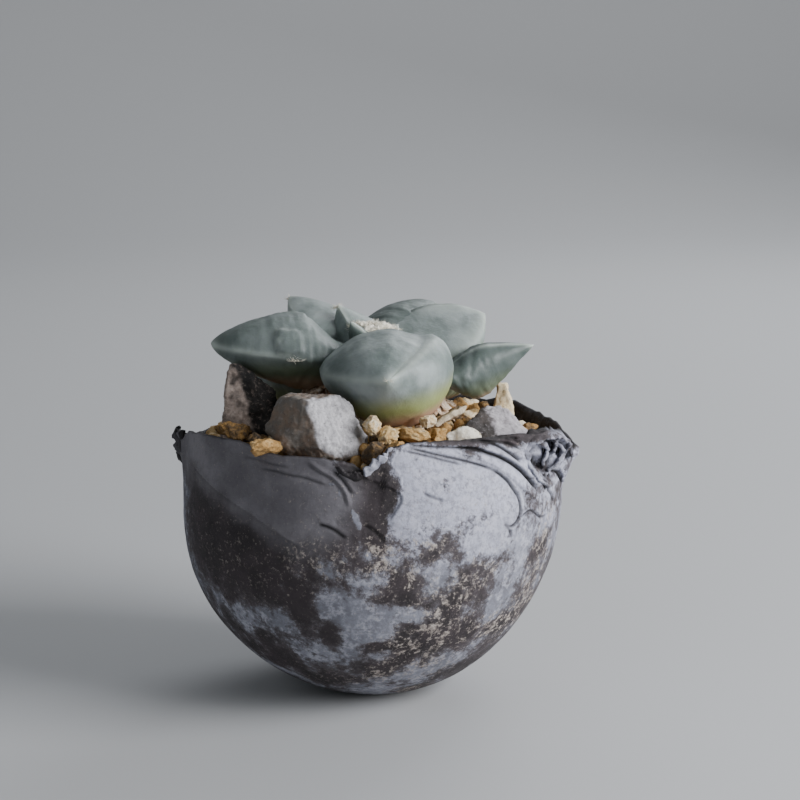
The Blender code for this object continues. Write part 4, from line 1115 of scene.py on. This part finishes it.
class ARIOCARPUS_OT_neck(bpy.types.Operator):
    """Model the neck and root, and the dried bases of shed tubercles round them"""
    bl_idname = "ariocarpus.neck"
    bl_label = "Neck and Dried Bases"
    bl_options = {"REGISTER", "UNDO"}

    def execute(self, context):
        dice = random.Random(5)
        fibre = dried_fibre()
        deselect_all()
        bpy.ops.mesh.primitive_cylinder_add(vertices=40, radius=1.0, depth=1.0, end_fill_type="TRIFAN")
        neck = newly_added("neck_and_root")
        bpy.ops.object.mode_set(mode="EDIT")
        bpy.ops.mesh.select_all(action="DESELECT")
        bpy.ops.object.mode_set(mode="OBJECT")
        for face in neck.data.polygons:
            face.select = abs(face.normal.z) < 0.5
        bpy.ops.object.mode_set(mode="EDIT")
        bpy.ops.mesh.subdivide(number_cuts=30, quadcorner="STRAIGHT_CUT")
        bpy.ops.object.mode_set(mode="OBJECT")
        ball = points_of(neck) * MM
        climb = ball[:, 2] + 0.5
        heights = NECK_STATIONS[0] + climb * (NECK_STATIONS[-1] - NECK_STATIONS[0])
        radius = np.interp(heights, NECK_STATIONS, NECK_WIDTHS) * np.hypot(ball[:, 0], ball[:, 1])
        angle = np.degrees(np.arctan2(ball[:, 1], ball[:, 0]))
        places = polar_points(radius, angle, heights)
        rough = 0.5 * lumps(places, 4.0, 4) * np.hypot(ball[:, 0], ball[:, 1])
        places = polar_points(radius + rough, angle, heights)
        places[:, 1] += PLANT_AXIS[1]
        move_points(neck, places)
        wear(neck, fibre)
        close_seams(neck)
        settle(neck, "rosette", "plant")

        deselect_all()
        bpy.ops.mesh.primitive_grid_add(x_subdivisions=5, y_subdivisions=6, size=1.0)
        flake = newly_added("flake")
        sheet = points_of(flake) * MM
        taper = 0.6 + 0.8 * (0.5 - sheet[:, 1]) * (0.5 + sheet[:, 1]) + 0.15 * sheet[:, 1]
        curl = 0.9 * sheet[:, 1] ** 2 - 0.8 * sheet[:, 0] ** 2
        move_points(flake, np.stack([sheet[:, 0] * taper * 4.6, sheet[:, 1] * 5.4, curl * 2.4], axis=1))
        modify(flake, "SOLIDIFY", thickness=0.00045, offset=0.0)
        flakes = []
        for index in range(FLAKES):
            copy = flake.copy()
            copy.data = flake.data.copy()
            context.scene.collection.objects.link(copy)
            in_front = index >= FLAKES_ALL_ROUND
            azimuth = dice.uniform(300.0, 336.0) if in_front else index * 137.5 % 360.0
            height = dice.uniform(66.5, 76.5) if in_front else dice.uniform(67.4, 76.0)
            size = dice.uniform(0.5, 0.95) if in_front else dice.uniform(0.55, 1.15)
            out = dice.uniform(1.4, 6.5) if in_front else dice.uniform(-0.9, 0.8)
            move = Matrix.Translation(Vector((*PLANT_AXIS, 0.0)) * MM)
            move @= Matrix.Rotation(math.radians(azimuth), 4, "Z")
            move @= Matrix.Translation(Vector((NECK_RADIUS + out, 0.0, height)) * MM)
            move @= Matrix.Rotation(math.radians(dice.uniform(20.0, 95.0)), 4, "Y")
            move @= Matrix.Rotation(math.radians(90.0 + dice.uniform(-45.0, 45.0)), 4, "Z")
            copy.data.transform(move @ Matrix.Scale(size, 4))
            places = points_of(copy)
            places += 0.35 * np.stack([lumps(places, 1.6, 2, k * 3.1 + index) for k in range(3)], axis=1)
            move_points(copy, places)
            flakes.append(copy)
        bpy.data.objects.remove(flake, do_unlink=True)
        flakes = join_all(flakes, "dried_bases")
        wear(flakes, fibre)
        settle(flakes, "rosette", "plant")
        return {"FINISHED"}


class ARIOCARPUS_OT_wool(bpy.types.Operator):
    """Model the tuft of wool at the crown, hair by hair"""
    bl_idname = "ariocarpus.wool"
    bl_label = "Crown Wool"
    bl_options = {"REGISTER", "UNDO"}

    def execute(self, context):
        settings = context.scene.ariocarpus_plant
        dice = random.Random(9)
        length = settings.wool_length / MM
        deselect_all()
        bpy.ops.mesh.primitive_cone_add(vertices=3, radius1=0.07, radius2=0.02, depth=1.0)
        hair = newly_added("hair")
        bpy.ops.object.mode_set(mode="EDIT")
        bpy.ops.mesh.select_all(action="SELECT")
        bpy.ops.mesh.subdivide(number_cuts=1)
        bpy.ops.object.mode_set(mode="OBJECT")
        shaft = points_of(hair) * MM
        climb = shaft[:, 2] + 0.5
        curl = np.stack([0.35 * climb ** 2, 0.15 * np.sin(climb * 5.0), climb], axis=1)
        curl[:, :2] += shaft[:, :2]
        hairs = []
        for index in range(settings.hairs):
            pick = dice.random()
            for centre, spread, share in WOOL_CLUMPS:
                if pick < share:
                    break
                pick -= share
            way = Vector([dice.gauss(0.0, 1.0) for _ in range(3)]).normalized()
            way.z = abs(way.z) * 1.1
            root = Vector([c + w * s for c, w, s in zip(centre, way, spread)])
            root.z -= 0.6
            copy = hair.copy()
            copy.data = hair.data.copy()
            context.scene.collection.objects.link(copy)
            move_points(copy, curl * np.array([1.0, 1.0, length * dice.uniform(0.5, 1.0)]))
            lean = Vector((dice.gauss(0.0, 1.0), dice.gauss(0.0, 1.0), dice.gauss(0.0, 0.3))) + way * 0.6
            turn = lean.to_track_quat("Z", "X").to_matrix().to_4x4()
            turn @= Matrix.Rotation(dice.uniform(0.0, math.tau), 4, "Z")
            copy.data.transform(Matrix.Translation(root * MM) @ turn)
            hairs.append(copy)
        bpy.data.objects.remove(hair, do_unlink=True)
        tuft = join_all(hairs, "wool_hairs")
        wool = areole_wool()
        wear(tuft, wool)
        settle(tuft, "wool", "crown_wool")

        deselect_all()
        bpy.ops.mesh.primitive_ico_sphere_add(subdivisions=5, radius=1.0)
        felt = newly_added("wool_felt")
        ball = points_of(felt) * MM
        places = np.array(WOOL_CENTRE) + ball * np.array([4.7, 2.6, 1.5])
        places += ball * (1.0 * lumps(places, 1.3, 4))[:, None]
        move_points(felt, places)
        wear(felt, wool)
        settle(felt, "wool", "crown_wool")
        return {"FINISHED"}


def gravel_height(x, y):
    """Height of the bedded gravel, from its edge at the wall up to the plant's neck."""
    azimuth = np.degrees(np.arctan2(y, x)) % 360.0
    from_neck = np.hypot(x - PLANT_AXIS[0], y - PLANT_AXIS[1]) - NECK_RADIUS
    edge = around(GRAVEL_EDGE, azimuth)
    reach = inner_radius(azimuth, edge) - 0.6
    part = np.clip(from_neck / (reach - NECK_RADIUS), 0.0, 1.0)
    heap = np.hypot(x - HEAP_PLACE[0], y - HEAP_PLACE[1]) / HEAP_SPREAD
    bedded = GRAVEL_AT_NECK + (edge - GRAVEL_AT_NECK) * part ** 1.3
    return bedded + HEAP_HEIGHT * np.exp(-heap * heap) * (1.0 - part ** 4)


def model_stone(name, subdivisions, nodules, seed):
    """One chipped stone, about two units across, pressed from a faceted ball."""
    deselect_all()
    bpy.ops.mesh.primitive_ico_sphere_add(subdivisions=subdivisions, radius=1.0)
    stone = newly_added(name)
    ball = points_of(stone) * MM
    dice = random.Random(seed)
    cut = np.ones(len(ball))
    for _ in range(9):
        way = np.array(Vector([dice.gauss(0.0, 1.0) for _ in range(3)]).normalized())
        toward = ball @ way
        reach = dice.uniform(0.55, 0.86)
        cut = np.where(toward * cut > reach, reach / np.maximum(toward, 1e-6), cut)
    ball *= cut[:, None]
    bumpy = nodules * 0.26 * np.abs(lumps(ball, 0.7, 2, seed)) + 0.13 * lumps(ball, 0.35, 5, seed + 5)
    ball *= (1.0 - 0.12 * nodules + bumpy)[:, None]
    move_points(stone, ball)
    return stone


def place_stone(shape, place, sizes, turn, tint):
    """A copy of a stone, in its own mesh, sized, turned and put in place."""
    copy = shape.copy()
    copy.data = shape.data.copy()
    bpy.context.scene.collection.objects.link(copy)
    move = Matrix.Translation(Vector(place) * MM) @ turn.to_4x4() @ Matrix.Diagonal((*sizes, 1.0))
    copy.data.transform(move)
    note(copy, "tint", np.full(len(copy.data.vertices), tint))
    return copy


def tree_of(names):
    """Search tree over some of the part's own solids."""
    verts = []
    faces = []
    for name in names:
        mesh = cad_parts[name].data
        start = len(verts)
        verts.extend(vert.co.copy() for vert in mesh.vertices)
        faces.extend([start + index for index in face.vertices] for face in mesh.polygons)
    return BVHTree.FromPolygons(verts, faces)


class ARIOCARPUS_OT_gravel(bpy.types.Operator):
    """Model the top dressing: a gritty bed, loose grains strewn on it, and the stones of note"""
    bl_idname = "ariocarpus.gravel"
    bl_label = "Gravel"
    bl_options = {"REGISTER", "UNDO"}

    def execute(self, context):
        settings = context.scene.ariocarpus_gravel
        material = baked_gravel(settings)
        self.make_bed(material)
        dice = random.Random(21)
        rocks = tree_of(["rock_front", "rock_left", "rock_right", "stone_cream", "stone_long", "stone_small"])
        plant = tree_of(["plant"])
        shapes = [model_stone(f"grain_{i}", 3, 0.5 * dice.random(), i) for i in range(6)]
        small = [model_stone(f"crumb_{i}", 2, 0.3, 40 + i) for i in range(6)]
        low, high = settings.grain_low / MM, settings.grain_high / MM
        laid = [(Vector(place), max(sizes)) for place, sizes, *_ in GRAVEL_STONES]
        grains = []
        for attempt in range(GRAVEL_TRIES):
            coarse = attempt < COARSE_TRIES
            radius = dice.uniform(0.62 * high, high) if coarse else dice.uniform(low, 0.62 * high)
            angle = dice.uniform(0.0, 360.0)
            reach = float(inner_radius(np.array(angle), around(GRAVEL_EDGE, angle))) - 0.7
            distance = math.sqrt(dice.uniform((NECK_RADIUS - 1.0) ** 2, reach ** 2))
            x = distance * math.cos(math.radians(angle))
            y = distance * math.sin(math.radians(angle))
            if distance + radius > reach or math.hypot(x, y - PLANT_AXIS[1]) < NECK_RADIUS + 0.6 * radius:
                continue
            level = float(gravel_height(np.array(x), np.array(y)))
            place = Vector((x, y, level + radius * dice.uniform(0.1, 0.6)))
            if any((place - other).length < 0.82 * (radius + size) for other, size in laid):
                continue
            if rocks.find_nearest(place * MM, radius * 0.75 * MM)[0] is not None:
                continue
            if plant.find_nearest(place * MM, radius * 0.8 * MM)[0] is not None:
                continue
            laid.append((place, radius))
            shape = dice.choice(shapes if coarse else small)
            turn = Matrix.Rotation(dice.uniform(0.0, math.tau), 3, "Z")
            turn @= Matrix.Rotation(dice.uniform(-0.5, 0.5), 3, "X")
            sizes = (radius, radius * dice.uniform(0.75, 1.0), radius * dice.uniform(0.6, 0.85))
            grains.append(place_stone(shape, place, sizes, turn, min(max(dice.gauss(0.48, 0.22), 0.02), 1.0)))
        grains = join_all(grains, "gravel_grains")
        wear(grains, material)
        settle(grains, "gravel", "top_dressing")
        for shape in shapes + small:
            bpy.data.objects.remove(shape, do_unlink=True)
        stones = []
        for index, (place, sizes, turn, tint, nodules) in enumerate(GRAVEL_STONES):
            shape = model_stone("shape", 5, nodules, 70 + index)
            turned = Matrix.Rotation(math.radians(turn), 3, "Z") @ Matrix.Rotation(0.3, 3, "X")
            stones.append(place_stone(shape, place, sizes, turned, tint))
            bpy.data.objects.remove(shape, do_unlink=True)
        stones = join_all(stones, "gravel_stones")
        wear(stones, material)
        settle(stones, "gravel", "top_dressing")
        return {"FINISHED"}

    def make_bed(self, material):
        """The gritty bed between the neck and the wall."""
        deselect_all()
        bpy.ops.mesh.primitive_grid_add(x_subdivisions=240, y_subdivisions=48, size=2.0)
        bed = newly_added("gravel_bed")
        flat = points_of(bed) * MM
        azimuth = (flat[:, 0] + 1.0) * 180.0
        part = (flat[:, 1] + 1.0) * 0.5
        top = np.clip(part / BED_TOP_SHARE, 0.0, 1.0)
        wall = inner_radius(azimuth, around(GRAVEL_EDGE, azimuth)) - 0.6
        outer = polar_points(wall, azimuth, 0.0)
        inner = polar_points(np.full(azimuth.shape, NECK_RADIUS - 0.5), azimuth, 0.0)
        inner[:, 1] += PLANT_AXIS[1]
        places = outer + (inner - outer) * top[:, None]
        places[:, 2] = gravel_height(places[:, 0], places[:, 1])
        places[:, 2] += 0.8 * lumps(places, 2.2, 4) - 0.3
        down = np.clip((part - BED_TOP_SHARE) / (1.0 - BED_TOP_SHARE), 0.0, 1.0)
        places = np.where(down[:, None] > 0.0, self.underside(outer, inner, down), places)
        move_points(bed, places)
        close_seams(bed)
        note(bed, "tint", np.clip(0.3 + 0.35 * lumps(points_of(bed), 3.0, 3), 0.0, 1.0))
        wear(bed, material)
        settle(bed, "gravel", "top_dressing")

    def underside(self, outer, inner, down):
        """The bed's lower face, which runs back out to the wall."""
        flat = inner + (outer - inner) * down[:, None]
        flat[:, 2] = BED_FLOOR
        last = down >= 0.999
        flat[last, 2] = gravel_height(flat[last, 0], flat[last, 1])
        return flat


class ARIOCARPUS_OT_rocks(bpy.types.Operator):
    """Model the rocks: each of the part's plain rocks, chipped, roughened and freshly split on one side"""
    bl_idname = "ariocarpus.rocks"
    bl_label = "Rocks"
    bl_options = {"REGISTER", "UNDO"}

    def execute(self, context):
        grey = broken_stone("split_grey_limestone", "#77716a", "#9b999b", "#c5c3c6", "#877566")
        # The brown slate's near-black colours are painted shade; its split colours are the lit stone.
        brown = broken_stone("brown_slate_in_painted_shade", "#110f0e", "#8d7e75", "#ab9c92", "#1e1a18")
        slate = broken_stone("split_pink_grey_slate", "#3b3735", "#a49ea2", "#bdb8bc", "#514a47")
        cream = broken_stone("cream_marble_chip", "#c2b8a0", "#e2dac8", "#f0eadd", "#a2957c")
        tan = broken_stone("weathered_tan_limestone", "#94806a", "#b8a88f", "#d2c5ae", "#75604a")
        honey = broken_stone("honey_marble_chip", "#c3a67c", "#e0c89c", "#efe0c2", "#a1845a")
        # Material, bevel in millimetres, slot, the way that the split side faces, and the plane past
        # which it shows.
        aloft = ((0.60, -0.60, 0.52), (0.0, 0.0, 1.0), 0.0)
        looks = {"rock_front": (grey, 0.9, "grey_rock", (0.86, -0.42, 0.28), (0.0, 0.0, 1.0), 0.0),
                 # rock_left's split side, facing left, is the part that the painted shade leaves out.
                 "rock_left": (brown, 0.9, "brown_rock", (-0.85, -0.45, 0.25), (-1.0, 0.0, -0.25), 11.2),
                 "rock_right": (slate, 0.8, "grey_rock", (0.88, 0.00, 0.48), (0.88, 0.0, 0.48), 57.1),
                 "stone_cream": (cream, 0.5, "cream_rock", *aloft),
                 "stone_long": (tan, 0.4, "cream_rock", *aloft),
                 "stone_small": (honey, 0.4, "cream_rock", *aloft)}
        for index, (name, (material, bevel, slot, split, beyond, start)) in enumerate(looks.items()):
            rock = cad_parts[name].copy()
            rock.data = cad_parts[name].data.copy()
            rock.parent = None
            rock.name = name + "_chipped"
            for key in list(rock.keys()):
                del rock[key]
            context.scene.collection.objects.link(rock)
            close_seams(rock, 0.00001)
            bpy.ops.object.mode_set(mode="EDIT")
            bpy.ops.mesh.dissolve_limited(angle_limit=math.radians(1.0))
            bpy.ops.object.mode_set(mode="OBJECT")
            modify(rock, "BEVEL", width=bevel * MM, segments=3, limit_method="ANGLE", angle_limit=0.3)
            modify(rock, "REMESH", mode="VOXEL", voxel_size=0.00032 if name == "rock_front" else 0.00034)
            places = points_of(rock)
            if name == "rock_front":
                # The foot of this block spreads to the right.
                places[:, 0] += 1.8 * ease(places[:, 2], 71.0, 65.5) * ease(places[:, 0], -10.0, -4.0)
            normals = np.empty(len(rock.data.vertices) * 3, np.float32)
            rock.data.vertices.foreach_get("normal", normals)
            normals = normals.reshape(-1, 3)
            rough = 0.55 * lumps(places, 4.5, 4, index) + 0.22 * lumps(places, 1.2, 3, index + 9)
            move_points(rock, places + normals * (rough - 0.12)[:, None])
            facing = normals @ np.array(Vector(split).normalized())
            fresh = ease(facing + 0.25 * lumps(places, 3.0, 3, 4.0), 0.3, 0.6)
            fresh *= ease(places @ np.array(beyond) + 0.8 * lumps(places, 2.0, 3), start - 0.6, start + 0.6)
            note(rock, "fresh", fresh)
            wear(rock, material)
            settle(rock, slot, name)
        return {"FINISHED"}


class ARIOCARPUS_OT_mix(bpy.types.Operator):
    """Give the potting mix under the gravel its crumbly peat"""
    bl_idname = "ariocarpus.mix"
    bl_label = "Potting Mix"
    bl_options = {"REGISTER", "UNDO"}

    def execute(self, context):
        wear(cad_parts["potting_mix"], potting_mix())
        return {"FINISHED"}


class ARIOCARPUS_OT_stage(bpy.types.Operator):
    """Set the stage: seamless paper, soft light from the right and the camera"""
    bl_idname = "ariocarpus.stage"
    bl_label = "Stage"
    bl_options = {"REGISTER", "UNDO"}

    def execute(self, context):
        settings = context.scene.ariocarpus_stage
        deselect_all()
        bpy.ops.mesh.primitive_grid_add(x_subdivisions=4, y_subdivisions=100, size=2.0)
        paper = newly_added("seamless_paper")
        flat = points_of(paper) * MM
        run = PAPER_FRONT + (flat[:, 1] + 1.0) * 0.5 * PAPER_LENGTH
        quarter = PAPER_BEND_RADIUS * math.pi / 2.0
        bend = np.clip((run - PAPER_BEND_AT) / quarter, 0.0, 1.0) * math.pi / 2.0
        past = np.clip(run - PAPER_BEND_AT - quarter, 0.0, None)
        depth = np.minimum(run, PAPER_BEND_AT) + PAPER_BEND_RADIUS * np.sin(bend)
        height = PAPER_BEND_RADIUS * (1.0 - np.cos(bend)) + past
        move_points(paper, np.stack([flat[:, 0] * PAPER_HALF_WIDTH, depth, height], axis=1) / MM)
        wear(paper, studio_paper(settings))
        make_active(paper)
        bpy.ops.object.shade_smooth()

        for name, (place, aim, size, share, colour) in SOFTBOXES.items():
            self.add_light(name, Vector(place), Vector(aim), size, settings.key_power * share, colour)
        world = bpy.data.worlds.new("studio")
        context.scene.world = world
        world.use_nodes = True
        feed(world.node_tree.nodes["Background"], {"Color": linear("#d4d9de"), "Strength": 0.24})

        target = Vector(CAMERA_TARGET)
        tilt = math.radians(CAMERA_TILT)
        place = target + CAMERA_DISTANCE * Vector((0.0, -math.cos(tilt), math.sin(tilt)))
        turn = (target - place).to_track_quat("-Z", "Y").to_euler()
        bpy.ops.object.camera_add(location=place, rotation=turn)
        camera = context.object
        camera.data.lens = settings.lens
        camera.data.sensor_width = SENSOR
        camera.data.clip_start = 0.01
        camera.data.dof.use_dof = False
        context.scene.camera = camera
        return {"FINISHED"}

    def add_light(self, name, place, aim, size, power, colour):
        """One square softbox, aimed at a point."""
        turn = (aim - place).to_track_quat("-Z", "Y").to_euler()
        bpy.ops.object.light_add(type="AREA", location=place, rotation=turn)
        light = bpy.context.object
        light.name = name
        light.data.size = size
        light.data.energy = power
        light.data.color = linear(colour)[:3]


class ARIOCARPUS_PT_panel(bpy.types.Panel):
    """Buttons for each piece, with its sizes and colours"""
    bl_idname = "ARIOCARPUS_PT_panel"
    bl_label = "Potted Ariocarpus"
    bl_space_type = "VIEW_3D"
    bl_region_type = "UI"
    bl_category = "Ariocarpus"

    def draw(self, context):
        scene = context.scene
        for title, settings, operators in (
                ("Pot", scene.ariocarpus_pot, ("ariocarpus.pot", "ariocarpus.strips")),
                ("Plant", scene.ariocarpus_plant,
                 ("ariocarpus.rosette", "ariocarpus.neck", "ariocarpus.wool")),
                ("Filling", scene.ariocarpus_gravel,
                 ("ariocarpus.gravel", "ariocarpus.rocks", "ariocarpus.mix")),
                ("Stage", scene.ariocarpus_stage, ("ariocarpus.stage",))):
            box = self.layout.box()
            box.label(text=title)
            for key in type(settings).__annotations__:
                box.prop(settings, key)
            for operator in operators:
                box.operator(operator)


CLASSES = (
    PotSettings, PlantSettings, GravelSettings, StageSettings, ARIOCARPUS_OT_pot, ARIOCARPUS_OT_strips,
    ARIOCARPUS_OT_rosette, ARIOCARPUS_OT_neck, ARIOCARPUS_OT_wool, ARIOCARPUS_OT_gravel, ARIOCARPUS_OT_rocks,
    ARIOCARPUS_OT_mix, ARIOCARPUS_OT_stage, ARIOCARPUS_PT_panel,
)


def register():
    for cls in CLASSES:
        bpy.utils.register_class(cls)
    bpy.types.Scene.ariocarpus_pot = bpy.props.PointerProperty(type=PotSettings)
    bpy.types.Scene.ariocarpus_plant = bpy.props.PointerProperty(type=PlantSettings)
    bpy.types.Scene.ariocarpus_gravel = bpy.props.PointerProperty(type=GravelSettings)
    bpy.types.Scene.ariocarpus_stage = bpy.props.PointerProperty(type=StageSettings)


def unregister():
    del bpy.types.Scene.ariocarpus_stage
    del bpy.types.Scene.ariocarpus_gravel
    del bpy.types.Scene.ariocarpus_plant
    del bpy.types.Scene.ariocarpus_pot
    for cls in reversed(CLASSES):
        bpy.utils.unregister_class(cls)


def main():
    register()
    bpy.ops.ariocarpus.stage()
    bpy.ops.ariocarpus.pot()
    bpy.ops.ariocarpus.strips()
    bpy.ops.ariocarpus.rosette()
    bpy.ops.ariocarpus.neck()
    bpy.ops.ariocarpus.wool()
    bpy.ops.ariocarpus.gravel()
    bpy.ops.ariocarpus.rocks()
    bpy.ops.ariocarpus.mix()


if __name__ == "__main__":
    main()
